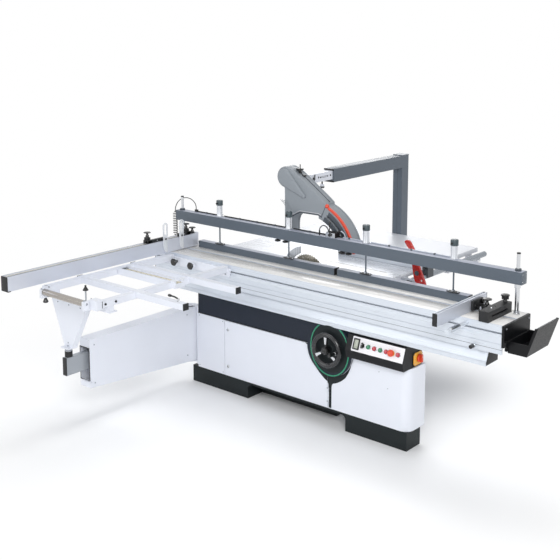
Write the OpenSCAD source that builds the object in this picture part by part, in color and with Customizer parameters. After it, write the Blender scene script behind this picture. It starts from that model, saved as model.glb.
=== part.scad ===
// Sliding table saw with crosscut frame, swing arm and pneumatic pressure beam.
// Millimetres, +Z up. Origin: on the floor straight below the saw blade's centre.
// X runs along the cut (work is fed towards -X), +Y points away from the sliding table.

/* [Overall] */
// Height of the table tops above the floor
table_h = 900; // [870:5:930]
// Gap between the sliding table and the fixed table
table_gap = 4; // [3:0.5:8]
// Running clearance between turning or sliding parts
fit = 0.05; // [0.02:0.01:0.09]

/* [Sliding table] */
// Width of the sliding table
slide_w = 300; // [280:5:320]
// Distance from the blade plane to the sliding table's inner edge
slide_in = 20; // [16:1:30]
// Length of the sliding table
slide_len = 2720; // [2500:10:2800]
// How far its outfeed end stands behind the blade's centre
slide_back = 1135; // [1130:5:1200]
// Depth of the table's outer side
slide_deep = 163; // [158:1:168]
// Thickness of the thin deck over the saw unit
deck_t = 8; // [6:0.5:9]

/* [Saw unit] */
// Main blade radius
blade_r = 150; // [125:5:155]
// Main blade thickness at the teeth
kerf = 3.2; // [2.6:0.2:4]
// Depth of the arbor below the table top
arbor_deep = 67; // [64:1:75]
// Arbor shaft radius
arbor_r = 12; // [10:0.5:13]
// Scoring blade radius
score_r = 60; // [50:5:65]
// Main motor radius
motor_r = 90; // [80:5:100]
// Pulley radius on the arbor
pulley_r1 = 30; // [26:1:32]
// Pulley radius on the motor
pulley_r2 = 45; // [40:1:50]
// Radius of the two lift guide rods
guide_rod_r = 15; // [12:1:18]
// Radius of the tilt slides around the table-top line
trunnion_r = 200; // [190:5:210]

/* [Cabinet] */
// Height of the dark plinth
plinth_h = 115; // [100:5:130]
// Depth of the narrow front housing
house_deep = 176; // [160:2:190]
// Sheet thickness of the housings
sheet = 4; // [2:0.5:6]
// Radius of the round boss behind the handwheel
boss_r = 172; // [160:2:178]
// Handwheel radius
wheel_r = 105; // [95:1:112]

/* [Crosscut frame] */
// Distance of the outer roller from the blade plane
roller_y = 1460; // [1450:5:1500]
// Roller radius
roller_r = 20; // [16:1:24]
// Width of the crosscut frame's tubes
tube_w = 40; // [34:2:46]
// Distance between the swing arm's hinge and the support's pivot
arm_len = 1050; // [1040:5:1060]
// Width of the swing arm
arm_w = 95; // [88:1:100]

/* [Fences] */
// Length of the crosscut fence
fence_len = 1620; // [1400:10:1700]
// Height of the crosscut fence
fence_h = 90; // [80:2:96]
// Height of the mitre fence
mitre_h = 70; // [60:2:80]

/* [Pressure beam] */
// Height of the beam's underside above the table
beam_up = 177; // [170:1:190]
// Height of the beam
beam_h = 70; // [60:2:80]
// Width of the beam
beam_w = 60; // [56:1:62]
// Radius of the air cylinders
cyl_r = 20; // [18:0.5:21]
// Height of the pressing bars
bar_h = 45; // [40:1:48]

/* [Coiled hose] */
// Radius of the curls to the hose's middle
curl_r = 15; // [12:0.5:18]
// Radius of the hose itself
wire_r = 3; // [2:0.25:4]
// Number of curls
curl_n = 14; // [8:1:16]
// Height of the arch over the beam's end
arch_h = 85; // [60:5:110]

/* [Guard] */
// Height of the guard post above the table
post_up = 600; // [580:5:640]
// Side of the telescopic tube under the guard arm
tele = 60; // [50:1:62]

/* [Hidden] */
$fn = 48;
tt = table_h;
sy0 = -slide_in - slide_w;
sy1 = -slide_in;
sx0 = -slide_back;
sx1 = sx0 + slide_len;
sz0 = tt - slide_deep;
box_in = sy0 + 140;
ceil_z = tt - 93.7;
rail_top = tt - 167;
rail_bot = tt - 250;
band_z1 = rail_bot;
band_z0 = tt - 399;
house_y0 = -300;
house_y1 = house_y0 + house_deep;
rear_x0 = -560;
rear_x1 = 360;
rear_y1 = 620;
out_x = -300;
main_x0 = -785;
main_x1 = 600;
main_y0 = sy1 + table_gap;
main_y1 = 560;
ext_y1 = 1190;
arb_z = tt - arbor_deep;
mot = [-160, tt - 230];
wheel_c = [420, tt - 395];
bar_y = 850;
gb = [631, tt - 50];
hook_x = 731;
rip_y = 430;
post_x = -95;
post_top = tt + post_up;
post_y = 1237.5;
px0 = 575;
px1 = 985;
hx = -810;
hy = house_y0;
qy = hy - arm_len;
beam_y = -81;
beam_z = tt + beam_up;
fence_c = [-1000, -85];
mitre_c = [sx1 - 195, -133];
shoe_x = sx1 - 110;
pin_x = sx1 - 170;
grip_x = sx1 - 215;
post_xs = [sx0 + 35, sx1 - 40];
spigot_r = 60;
spigot_z = 300;
cyl_x = [-728, -99, 522, sx1 - 443];
hose_y = beam_y + beam_w / 2 - 8;
fit_x = -976;
valve_x = 261;
curl_x = sx0 - 65;
curl_z0 = tt + 42;
curl_z1 = tt + 224;
roll_n = 6;
roll_gap = 220;
roll_x0 = 230 - roll_gap * (roll_n - 1) / 2;
roll_rad = 33;
roll_z = ceil_z - 0.3 - roll_rad;
knob_r = 22;

grey = "#57616B";
white = "#E4E8F0";
steel = "#B8BCC2";
dark = "#262C2E";
black = "#1B1D1F";
alu = "#CDD0D6";
red = "#C8321E";
green = "#1E8A5A";

module bx(x0, x1, y0, y1, z0, z1) {
  translate([x0, y0, z0]) cube([x1 - x0, y1 - y0, z1 - z0]);
}
module rx(x0, x1, y, z, r) {
  translate([x0, y, z]) rotate([0, 90, 0]) cylinder(h = x1 - x0, r = r);
}
module ry(x, y0, y1, z, r) {
  translate([x, y1, z]) rotate([90, 0, 0]) cylinder(h = y1 - y0, r = r);
}
module rz(x, y, z0, z1, r) {
  translate([x, y, z0]) cylinder(h = z1 - z0, r = r);
}
// a Y-Z outline drawn out along X
module along_x(x0, x1) {
  translate([x0, 0, 0]) rotate([90, 0, 90]) linear_extrude(x1 - x0) children();
}
// an X-Z outline drawn out along Y
module along_y(y0, y1) {
  translate([0, y1, 0]) rotate([90, 0, 0]) linear_extrude(y1 - y0) children();
}
module along_z(z0, z1) {
  translate([0, 0, z0]) linear_extrude(z1 - z0) children();
}
// a flat rectangle with rounded corners
module pad(x0, x1, y0, y1, r) {
  translate([x0 + r, y0]) square([x1 - x0 - 2 * r, y1 - y0]);
  translate([x0, y0 + r]) square([x1 - x0, y1 - y0 - 2 * r]);
  for (x = [x0 + r, x1 - r])
    for (y = [y0 + r, y1 - r])
      translate([x, y]) circle(r);
}
// a flat ring sector between two angles
module sector(r0, r1, a0, a1) {
  difference() {
    circle(r1);
    circle(r0);
    rotate(a1) translate([-2 * r1, 0]) square([4 * r1, 4 * r1]);
    rotate(a0) translate([-2 * r1, -4 * r1]) square([4 * r1, 4 * r1]);
  }
}
// a star knob with its stem, pointing along +Z
module star(r, h) {
  cylinder(h = h * 0.4, r = r * 0.45);
  translate([0, 0, h * 0.4]) {
    cylinder(h = h * 0.6, r = r * 0.72);
    for (a = [0:60:359])
      rotate(a) translate([r * 0.66, 0, 0]) cylinder(h = h * 0.6, r = r * 0.32);
  }
}

// base
module plinth() color(dark) difference() {
  union() {
    bx(-788, 985, -300, -154, 0, plinth_h);
    bx(rear_x0, rear_x1, -154, rear_y1, 0, 80);
  }
  // low arch between the two front feet
  along_y(-301, -153) {
    translate([-271, -1]) square([809, 71]);
    translate([-241, 0]) square([749, 100]);
    translate([-241, 70]) circle(30);
    translate([508, 70]) circle(30);
  }
  bx(-782, -277, -294, -160, 6, plinth_h - 6);
  bx(544, 979, -294, -160, 6, plinth_h - 6);
  bx(rear_x0 + 8, rear_x1 - 8, -146, rear_y1 - 8, 8, 81);
  // anchor bolt holes in the rear base
  for (x = [-500, 300])
    for (y = [0, 560])
      rz(x, y, -1, 9, 7);
}

module house_outline(d) {
  translate([-735 + d, -278 + d]) square([1168 - d, house_deep - 22 - d]);
  translate([399, house_y0 + d]) square([536, house_deep - d]);
  translate([399, -240]) square([596 - d, house_deep - 60]);
  translate([935, -240]) circle(60 - d);
}
module front_housing() color(white) {
  difference() {
    union() {
      along_z(plinth_h, band_z0) house_outline(0);
      // fixed left end panel beside the door
      bx(-735, -484, house_y0, -277, plinth_h, band_z0);
      bx(-484, 399, house_y0, -277, plinth_h, plinth_h + 4);
    }
    along_z(plinth_h + sheet, band_z0 + 1) house_outline(sheet);
    bx(-400, 330, house_y1 - sheet - 1, house_y1 + 1, plinth_h + sheet, band_z0 + 1);
    bx(-731, -488, -296, -270, plinth_h + sheet, band_z0 - sheet);
    // service opening behind the door
    bx(-440, 240, -279, -273, plinth_h + 40, band_z0 - 60);
    // dark groove between door and right panel
    bx(408, 430, house_y0 - 1, house_y0 + 3, plinth_h + 4, band_z0 + 1);
    // round seat of the handwheel boss
    ry(wheel_c[0], -301, -280, wheel_c[1], boss_r + 0.4);
    // room for the door's knuckles
    for (z = [149, 235])
      rz(401, -305, z - 9.2, z + 9.4, 6.4);
  }
  // closed top and back beside the saw unit
  bx(-731, -420, -278, house_y1, band_z0 - sheet, band_z0);
  intersection() {
    along_z(band_z0 - sheet, band_z0) house_outline(0);
    bx(600, 1000, -310, house_y1, band_z0 - sheet - 1, band_z0 + 1);
  }
  // hinge bracket of the swing arm
  bx(-747, -735, -300, -180, 130, 549);
  difference() {
    union() {
      along_z(541, 549) arm_lug();
      along_z(142, 150) arm_lug();
      rz(hx, hy, 150, 541, 12);
    }
    rz(hx, hy, 140, 551, 5);
  }
  // hinge pins of the door
  for (z = [149, 235])
    difference() {
      union() {
        rz(401, -305, z - 16, z - 9.2, 5);
        rz(401, -305, z - 9.2, z + 9, 3);
        bx(400, 406, -309, -298, z - 16, z - 9.2);
      }
      rz(401, -305, z - 17, z + 10, 1);
    }
}
module arm_lug() {
  translate([hx, hy]) circle(30);
  translate([hx, -300]) square([-735 - hx, 40]);
}

module fascia_band() color(dark) {
  difference() {
    union() {
      bx(-735, px0 - 0.3, -296, -200, band_z0, band_z1);
      ry(wheel_c[0], -316, -281, wheel_c[1], boss_r);
    }
    bx(-732, px0 - 5, -292, -197, band_z0 + 3, band_z1 - 3);
    // bush for the handwheel shaft
    ry(wheel_c[0], -320, -190, wheel_c[1], 10 + fit);
    bx(wheel_c[0] - 200, wheel_c[0] + 200, -310, -199, 0, band_z0 - 12);
    bx(wheel_c[0] + 20, px0 + 40, -300, -199, band_z0 - 12, band_z0);
    bx(wheel_c[0] - 200, wheel_c[0] - 20, -300, -199, band_z0 - 12, band_z0);
    bx(px0 - 0.3, px0 + 60, -320, -199, band_z0, band_z1 + 60);
    bx(wheel_c[0] - 200, wheel_c[0] + 200, -320, -199, band_z1, band_z1 + 60);
  }
}

module rear_cabinet() color(white) {
  difference() {
    bx(rear_x0, rear_x1, house_y1, rear_y1, 80, tt - 40);
    bx(rear_x0 + sheet, rear_x1 - sheet, house_y1 + sheet, rear_y1 - sheet, 80 + sheet, tt);
    // the saw unit swings through the open front
    bx(-380, 345, house_y1 - 1, house_y1 + sheet + 1, 150, tt);
    // outlet for chips
    bx(out_x - 55, out_x + 55, rear_y1 - 9, rear_y1 + 1, spigot_z - 55, spigot_z + 55);
    // notches for the rails of the wing
    for (x = [-500, 300])
      bx(x - 1, x + 41, rear_y1 - 9, rear_y1 + 1, tt - 60, tt);
  }
  // flanged spigot screwed over the outlet
  difference() {
    union() {
      ry(out_x, rear_y1 + 0.3, rear_y1 + 4.3, spigot_z, spigot_r + 22);
      ry(out_x, rear_y1 + 0.3, rear_y1 + 80, spigot_z, spigot_r);
    }
    ry(out_x, rear_y1 - 1, rear_y1 + 81, spigot_z, spigot_r - 4);
  }
}

module main_table() color(white) {
  difference() {
    union() {
      bx(main_x0, main_x1, main_y0, main_y1, tt - 25, tt);
      bx(rear_x0, rear_x0 + 20, 20, main_y1, tt - 40, tt - 25);
      bx(rear_x1 - 15, rear_x1, 20, main_y1, tt - 40, tt - 25);
      bx(rear_x0, rear_x1, main_y1 - 20, main_y1, tt - 40, tt - 25);
      // bracket of the guide bar
      bx(540, gb[0] + 12, 290, 330, gb[1] - 38, gb[1] - 20);
      bx(540, 570, 290, 330, gb[1] - 20, tt - 25);
      // hook of the push stick
      bx(main_x1 - 2, hook_x + 8, 198.3, 204, tt - 24, tt - 10);
      bx(hook_x - 8, hook_x + 8, 198.3, 204, tt - 24, tt + 40);
      ry(hook_x, 172, 204, tt + 40, 9 - fit);
    }
    // opening for the blades and the riving knife
    bx(-215, 300, main_y0 - 1, 14, tt - 60, tt + 1);
    // scale groove
    bx(-30, 493, 184, 196, tt - 3, tt + 1);
  }
  // curved slides that carry the saw unit
  for (s = [0, 1]) {
    m = s == 0 ? -345 : 330;
    difference() {
      along_x(m, m + 15) {
        translate([-140, tt - 32]) square([300, 7]);
        difference() {
          translate([0, tt]) sector(trunnion_r - 30, trunnion_r + 30, -132, -43);
          translate([-300, tt - 25]) square([600, 200]);
        }
        translate([-140, tt - 150]) square([50, 120]);
        translate([110, tt - 150]) square([50, 120]);
      }
      along_x(s == 0 ? m + 7 : m - 1, s == 0 ? m + 16 : m + 8)
        translate([0, tt]) sector(trunnion_r - 10, trunnion_r + 10, -131, -42);
    }
  }
}

module extension_tables() color(white) {
  difference() {
    bx(main_x0, main_x1, main_y1 + 2, ext_y1, tt - 30, tt);
    bx(main_x0 + 4, -3, main_y1 + 6, ext_y1 - 4, tt - 31, tt - 4);
    bx(3, main_x1 - 4, main_y1 + 6, ext_y1 - 4, tt - 31, tt - 4);
  }
  // brackets of the guide bar
  for (y = [720, 1120]) {
    bx(540, gb[0] + 12, y, y + 40, gb[1] - 38, gb[1] - 20);
    bx(540, 570, y, y + 40, gb[1] - 20, tt - 4);
  }
  // two rails that hang the wing on the main table
  bx(-500, -460, main_y1 - 40, main_y1 + 140, tt - 60, tt - 40);
  bx(-500, -460, main_y1 + 2, main_y1 + 140, tt - 40, tt - 4);
  bx(300, 340, main_y1 - 40, main_y1 + 140, tt - 60, tt - 40);
  bx(300, 340, main_y1 + 2, main_y1 + 140, tt - 40, tt - 4);
}

module rail_outline(d) {
  polygon([
    [-290 + d, rail_top - d], [-180 - d, rail_top - d], [-180 - d, rail_bot + d],
    [-316 + d, rail_bot + d], [-316 + d, rail_bot + 22], [-311 + d, rail_bot + 27],
    [-290 + d, rail_top - 13]
  ]);
}
module fixed_rail() color(alu) {
  difference() {
    along_x(-1015, 1490) rail_outline(0);
    along_x(-1009, 1484) rail_outline(6);
  }
  // raised track for the rollers
  bx(-1015, 1490, -262, -228, rail_top, ceil_z - 2 * roll_rad - 0.6);
  // brackets to the cabinet
  bx(-430, -400, -180, house_y1, 560, rail_bot + 30);
  bx(348, 358, -180, house_y1, 560, rail_bot + 30);
}

module guide_bar() color(steel) difference() {
  ry(gb[0], 250, 1230, gb[1], 20);
  ry(gb[0], 249, 256, gb[1], 15);
  ry(gb[0], 1224, 1231, gb[1], 15);
}

module guard_post() color(grey) {
  difference() {
    union() {
      bx(post_x - 40, post_x + 40, post_y - 42.5, post_y + 42.5, 0, post_top);
      bx(post_x - 40, post_x + 40, 345, post_y - 42.5, post_top - 90, post_top);
      bx(post_x - 80, post_x + 80, post_y - 82.5, post_y + 82.5, 0, 12);
      // beam to the rear cabinet
      bx(post_x - 30, post_x + 30, rear_y1, post_y - 42.5, 700, 760);
    }
    bx(post_x - 26, post_x + 26, rear_y1 + 4, post_y - 46.5, 704, 756);
    // slot for the clamp of the guard arm
    bx(post_x - 5.6, post_x + 5.6, 344, 480, post_top - 91, post_top - 60);
    bx(post_x - 35, post_x + 35, post_y - 37.5, post_y + 37.5, 12, post_top - 100);
    arm_bore();
  }
}
module arm_bore() {
  h = tele / 2 + fit;
  bx(post_x - h, post_x + h, 344, 1150, post_top - 40 - h, post_top - 40 + h);
}

module box_outline(d) {
  polygon([
    [-154 - d, band_z0 + 0.3 + d], [-154 - d, band_z1 - 8 - d], [-328 + d, band_z1 - 8 - d],
    [-360 + d, band_z0 + 50], [-346 + d, band_z0 + 0.3 + d]
  ]);
}
// slope of the panel face, and a point on it
panel_a = atan2(32, band_z1 - band_z0 - 58);
panel_c = [-344, (band_z0 + 50 + band_z1 - 8) / 2];
module on_panel(x, w) {
  translate([x, panel_c[0], panel_c[1]]) rotate([90 - panel_a, 0, 0])
    translate([0, w, 0]) children();
}
btn_x = [695, 737, 780, 822, 863, 902, 946];
module control_box() color(dark) {
  difference() {
    union() {
      along_x(px0, px1) box_outline(0);
      bx(px1, px1 + 3, -250, -158, band_z0 + 8, band_z0 + 88);
    }
    along_x(px0 + 3, px1 - 3) box_outline(3);
    for (i = [1:6])
      on_panel(btn_x[i], 0) translate([0, 0, -9]) cylinder(h = 20, r = 8 + fit);
    on_panel(btn_x[0], 0) translate([0, 0, -9]) cylinder(h = 20, r = 6 + fit);
    rx(px1 - 9, px1 + 9, -190, band_z0 + 48, 8 + fit);
  }
  // framed angle display
  on_panel(648, 0) difference() {
    translate([-20, -32, 0]) cube([40, 64, 5]);
    translate([-15, -27, 3.5]) cube([30, 54, 2]);
  }
}

module push_stick() color(red) difference() {
  along_y(180, 198) {
    polygon([
      [628, tt + 226], [643, tt + 241], [670, tt + 240], [713, tt + 173], [748, tt + 75],
      [796, tt - 25], [787, tt - 38], [722, tt - 29], [707, tt - 4], [692, tt + 70],
      [683, tt + 161]
    ]);
  }
  ry(hook_x, 179, 199, tt + 40, 9);
  ry(hook_x + 29, 179, 199, tt - 5, 7);
}

module left_door() color(white) difference() {
  union() {
    difference() {
      bx(-481, 396, house_y0, -280, plinth_h + 5, band_z0 - 2);
      bx(-477, 392, house_y0 + 4, -279, plinth_h + 9, band_z0 - 6);
    }
    // stiffening rib around the round cut-out
    intersection() {
      bx(150, 396, house_y0, -280, plinth_h + 5, band_z0 - 2);
      ry(wheel_c[0], -300, -280, wheel_c[1], boss_r + 12);
    }
    for (z = [149, 235]) {
      rz(401, -305, z - 9, z + 9, 6);
      bx(385, 398, -306, -299, z - 9, z + 9);
    }
  }
  ry(wheel_c[0], -330, -270, wheel_c[1], boss_r + 4);
  for (z = [149, 235])
    rz(401, -305, z - 10, z + 10, 3 + fit);
}

module handwheel() color(black) translate([wheel_c[0], 0, wheel_c[1]]) rotate([90, 0, 0]) {
  // local +Z points at the operator
  difference() {
    union() {
      translate([0, 0, 338]) rotate_extrude() translate([wheel_r - 9, 9]) circle(9);
      translate([0, 0, 330]) cylinder(h = 34, r = 24);
      for (a = [90, 210, 330])
        rotate(a) translate([10, -7, 340]) cube([wheel_r - 20, 14, 12]);
      translate([0, 0, 205]) cylinder(h = 127, r = 10);
      translate([wheel_r - 26, 0, 340]) cylinder(h = 12, r = 13);
    }
    translate([wheel_r - 26, 0, 335]) cylinder(h = 30, r = 4 + fit);
  }
}
module crank_handle() color(black) {
  cx = wheel_c[0] + wheel_r - 26;
  translate([cx, 0, wheel_c[1]]) rotate([90, 0, 0]) {
    translate([0, 0, 336]) cylinder(h = 30, r = 4);
    translate([0, 0, 352.3]) cylinder(h = 8, r = 7);
    translate([0, 0, 360]) cylinder(h = 56, r = 10.5);
    translate([0, 0, 416]) sphere(10.5);
  }
}

// saw unit
module tilt_frame() color(grey) {
  for (s = [-1, 1]) {
    x0 = s < 0 ? -324 : 312;
    difference() {
      along_x(x0, x0 + 12)
        polygon([
          [20, tt - 120], [20, tt - 226], [72, tt - 240], [72, tt - 345],
          [192, tt - 345], [192, tt - 45], [70, tt - 45]
        ]);
      along_x(x0 - 1, x0 + 13) translate([140, tt - 110]) circle(22);
    }
    along_x(s < 0 ? -337.7 : 323, s < 0 ? -323 : 337.7)
      translate([0, tt]) sector(trunnion_r - 10 + fit, trunnion_r + 10 - fit, -80, -52);
    rz(s * 250, 170, tt - 340, tt - 50, guide_rod_r);
    bx(s < 0 ? -275 : 225, s < 0 ? -225 : 275, 150, 195, tt - 60, tt - 45);
    bx(s < 0 ? -275 : 225, s < 0 ? -225 : 275, 140, 190, tt - 345, tt - 330);
  }
  bx(-324, 324, 187, 212, tt - 75, tt - 45);
  bx(-312, 312, 110, 150, tt - 345, tt - 330);
}

module lift_carriage() color(steel) {
  difference() {
    union() {
      for (s = [-1, 1])
        rz(s * 250, 170, tt - 200, tt - 80, 25);
      bx(-270, 270, 135, 150, tt - 200, tt - 80);
      bx(-60, 260, 135, 150, tt - 100, tt - 32);
      ry(0, 15, 150, arb_z, 35);
      ry(225, 20, 140, tt - 58, 26);
      // bracket of the riving knife
      bx(-215, -165, 1.4, 136, tt - 135, tt - 105);
      // motor plate on two spacers
      bx(-224, 40, 186, 194, tt - 330, tt - 130);
      ry(-200, 149, 187, tt - 150, 10);
      ry(22, 149, 187, tt - 190, 10);
    }
    for (s = [-1, 1])
      rz(s * 250, 170, tt - 210, tt - 70, guide_rod_r + fit);
    ry(0, 10, 200, arb_z, arbor_r + fit);
    ry(225, 10, 200, tt - 58, 6 + fit);
    ry(mot[0], 180, 200, mot[1], 22);
  }
}

module main_motor() color(grey) difference() {
  union() {
    ry(mot[0], 194, 400, mot[1], motor_r - 6);
    for (y = [206:24:386])
      ry(mot[0], y, y + 8, mot[1], motor_r);
    ry(mot[0], 400, 420, mot[1], motor_r - 14);
    bx(mot[0] - 45, mot[0] + 45, 250, 340, mot[1] + motor_r - 14, mot[1] + motor_r + 12);
  }
  ry(mot[0], 190, 330, mot[1], 14 + fit);
}

module riving_knife() color(steel) along_y(-1.4, 1.4) difference() {
  translate([-22, arb_z]) circle(blade_r + 44);
  translate([0, arb_z]) circle(blade_r + 6);
  translate([-60, arb_z - 400]) square([400, 900]);
  translate([-400, arb_z - 280]) square([800, 210]);
}

belt_d = [mot[0], mot[1] - arb_z];
belt_c = sqrt(belt_d[0] * belt_d[0] + belt_d[1] * belt_d[1]);
belt_a = atan2(belt_d[1], belt_d[0]);
module belt_outline(e) {
  r1 = pulley_r1 + e;
  r2 = pulley_r2 + e;
  s = (r2 - r1) / belt_c;
  c = sqrt(1 - s * s);
  translate([0, arb_z]) rotate(belt_a) {
    circle(r1);
    translate([belt_c, 0]) circle(r2);
    // the straight runs meet the arcs a hair inside
    scale([1, 0.997]) polygon([
      [-r1 * s, -r1 * c], [belt_c - r2 * s, -r2 * c],
      [belt_c - r2 * s, r2 * c], [-r1 * s, r1 * c]
    ]);
  }
}
module drive_belt() color(black) along_y(160, 180) difference() {
  belt_outline(6);
  belt_outline(0.3);
}

module main_arbor() color(steel) difference() {
  union() {
    ry(0, -12, 184, arb_z, arbor_r);
    ry(0, kerf / 2 + 0.1, 12, arb_z, 30);
    ry(0, -10, -kerf / 2 - 0.1, arb_z, 30);
    translate([0, -10, arb_z]) rotate([90, 0, 0]) cylinder(h = 14, r = 14, $fn = 6);
    ry(0, 156, 184, arb_z, pulley_r1);
    ry(0, 184, 186, arb_z, pulley_r1 + 3);
  }
  ry(0, 180, 187, arb_z, 4);
}

module saw_blade() color(steel) along_y(-kerf / 2, kerf / 2) {
  n = 48;
  translate([0, arb_z]) difference() {
    union() {
      circle(blade_r - 8);
      for (i = [0:n - 1])
        rotate(i * 360 / n)
          polygon([[blade_r - 10, -8], [blade_r, 0], [blade_r - 3, 2], [blade_r - 10, 2]]);
    }
    circle(arbor_r + 0.3);
    for (a = [20:90:359])
      rotate(a) {
        translate([blade_r - 26, -1]) square([40, 2]);
        translate([blade_r - 26, 0]) circle(3);
      }
  }
}

module motor_pulley() color(grey) difference() {
  union() {
    ry(mot[0], 156, 183, mot[1], pulley_r2);
    ry(mot[0], 183, 185, mot[1], pulley_r2 + 3);
    ry(mot[0], 185, 320, mot[1], 14);
  }
  ry(mot[0], 150, 162, mot[1], 8);
}

module scoring_blade() color(steel) translate([225, 0, tt - 58]) {
  along_y(-kerf / 2, kerf / 2) difference() {
    union() {
      circle(score_r - 5);
      for (i = [0:23])
        rotate(i * 15) polygon([[score_r - 7, -6], [score_r, 0], [score_r - 7, 2]]);
    }
    circle(5);
  }
  difference() {
    union() {
      ry(0, -8, 130, 0, 6);
      ry(0, kerf / 2, 16, 0, 18);
      ry(0, -8, -kerf / 2, 0, 18);
    }
    ry(0, -9, -4, 0, 3);
  }
}

// sliding table
module table_outline() {
  difference() {
    polygon([
      [sy0, tt], [sy1, tt], [sy1, tt - deck_t], [-148, tt - deck_t], [-148, tt - 22],
      [box_in, tt - 22], [box_in, sz0 + 4], [box_in - 8, sz0 + 4], [sy0 + 6, sz0],
      [sy0, sz0], [sy0, sz0 + 54], [sy0 - 7, sz0 + 62], [sy0 - 7, sz0 + 92],
      [sy0, sz0 + 102]
    ]);
    // hollow upper chamber
    translate([sy0 + 24, ceil_z + 6]) square([slide_w - 186, 66]);
    // roller chamber, open below
    translate([sy0 + 8, sz0 - 10]) square([126, ceil_z - sz0 + 10]);
    // slot in the outer side
    translate([sy0 - 8, tt - 50]) square([14, 10]);
    translate([sy0 + 6, tt - 54]) square([7, 18]);
    // slot in the top
    translate([-167, tt - 9]) square([10, 10]);
    translate([-171, tt - 17]) square([18, 9]);
  }
}
module sliding_table() color(alu) {
  difference() {
    along_x(sx0, sx1) table_outline();
    // bore of the index plunger
    ry(pin_x, sy0 - 20, sy0 + 9, sz0 + 17, 5 + fit);
    // feet of the beam posts
    for (x = post_xs)
      rz(x, beam_y, tt - deck_t - 1, tt + 1, 6);
  }
  // boss of the index plunger
  difference() {
    ry(pin_x, sy0 - 8, sy0 + 2, sz0 + 17, 11);
    ry(pin_x, sy0 - 20, sy0 + 3, sz0 + 17, 5 + fit);
  }
  // pivot pin of the crosscut fence
  rz(fence_c[0], fence_c[1], tt - 1, tt + 4.7, 24);
  rz(fence_c[0], fence_c[1], tt, tt + 5 + fence_h, 8);
  // holder of the coiled hose's lower end
  bx(curl_x - 12, sx0 + 30, hose_y - 12, hose_y + 12, tt - deck_t - 8, tt - deck_t);
  rz(curl_x, hose_y, tt - deck_t, tt + 14, 6);
  // push handle
  ry(grip_x, sy0 - 206, sy0, tt - 25, 12.5);
  ry(grip_x, sy0 - 216, sy0 - 180, tt - 25, 14.5);
  // side screws of the skirt
  for (x = [sx0 + 120:227:sx1 - 60])
    ry(x, sy0 - 2, sy0, sz0 + 38, 6);
}

module end_tray() color(black) {
  bx(sx1, sx1 + 14, sy0 - 8, sy1, tt - 120, tt);
  // tray with a wall that leans out
  difference() {
    along_y(-280, -20)
      polygon([
        [sx1 + 14, tt - 92], [sx1 + 14, tt - 158], [sx1 + 125, tt - 158],
        [sx1 + 182, tt + 9], [sx1 + 166, tt + 9], [sx1 + 132, tt - 92]
      ]);
    along_y(-276, -24)
      polygon([
        [sx1 + 18, tt - 80], [sx1 + 18, tt - 154], [sx1 + 122, tt - 154],
        [sx1 + 176, tt + 5], [sx1 + 176, tt + 30], [sx1 + 150, tt + 30]
      ]);
  }
  // round knob and grey block below the end plate
  rx(sx1 + 14, sx1 + 26, -311, tt - 103, 18);
  bx(sx1, sx1 + 14, -288, -199, tt - 150, tt - 120);
}

module edging_shoe() color(black) {
  difference() {
    bx(shoe_x - 29, shoe_x + 29, -330, -60, tt + 0.3, tt + 60);
    bx(shoe_x - 35, shoe_x + 35, -290, -110, tt + 24, tt + 34);
    rz(shoe_x, -200, tt - 1, tt + 61, 5);
  }
  bx(shoe_x - 19, shoe_x + 19, -170.6, -153.4, tt - 16.6, tt - 9.4);
  bx(shoe_x - 19, shoe_x + 19, -166.6, -157.4, tt - 10, tt + 1);
  translate([shoe_x, -85, tt + 60]) star(knob_r, 40);
}

module mitre_base() color(steel) {
  difference() {
    union() {
      rz(mitre_c[0], mitre_c[1], tt + 0.3, tt + 8, 46);
      bx(mitre_c[0] - 36, mitre_c[0] + 36, -170.6, -153.4, tt - 16.6, tt - 9.4);
      bx(mitre_c[0] - 36, mitre_c[0] + 36, -166.6, -157.4, tt - 10, tt + 1);
      rz(mitre_c[0], mitre_c[1], tt + 8, tt + 40, 7);
    }
    // degree ring
    for (a = [0:10:359])
      translate([mitre_c[0], mitre_c[1], tt]) rotate(a)
        translate([40, -0.4, 7.4]) cube([7, 0.8, 1]);
  }
}
module mitre_fence() color(alu) {
  x0 = mitre_c[0] - 90;
  difference() {
    bx(x0, x0 + 28, -565, -24, tt + 1, tt + 1 + mitre_h);
    bx(x0 + 6, x0 + 22, -566, -23, tt + 20, tt + 44);
    bx(x0 - 1, x0 + 8, -566, -23, tt + 28, tt + 36);
    bx(x0 + 10, x0 + 18, -566, -23, tt + mitre_h - 8, tt + 2 + mitre_h);
  }
  difference() {
    union() {
      translate([mitre_c[0], mitre_c[1], tt + 8.3]) cylinder(h = 22, r = 34);
      bx(x0 + 28, mitre_c[0] - 20, mitre_c[1] - 30, mitre_c[1] + 30, tt + 10, tt + 26);
    }
    rz(mitre_c[0], mitre_c[1], tt, tt + 60, 7 + fit);
  }
}

module roller_carriage() color(grey) {
  x0 = roll_x0 - 50;
  x1 = roll_x0 + roll_gap * (roll_n - 1) + 50;
  for (y = [-279, -219])
    bx(x0, x1, y, y + 6, roll_z - 26, roll_z + 26);
  for (x = [x0, x1 - 8])
    bx(x, x + 8, -273, -219, roll_z - 20, roll_z + 20);
  for (i = [0:roll_n - 1]) {
    ry(roll_x0 + i * roll_gap, -274, -218, roll_z, 9);
    ry(roll_x0 + i * roll_gap, -262, -228, roll_z, roll_rad);
  }
}

module index_plunger() color(black) {
  ry(pin_x, sy0 - 16, sy0 + 14, sz0 + 17, 5);
  ry(pin_x, sy0 - 34, sy0 - 9, sz0 + 17, 11);
}

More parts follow.
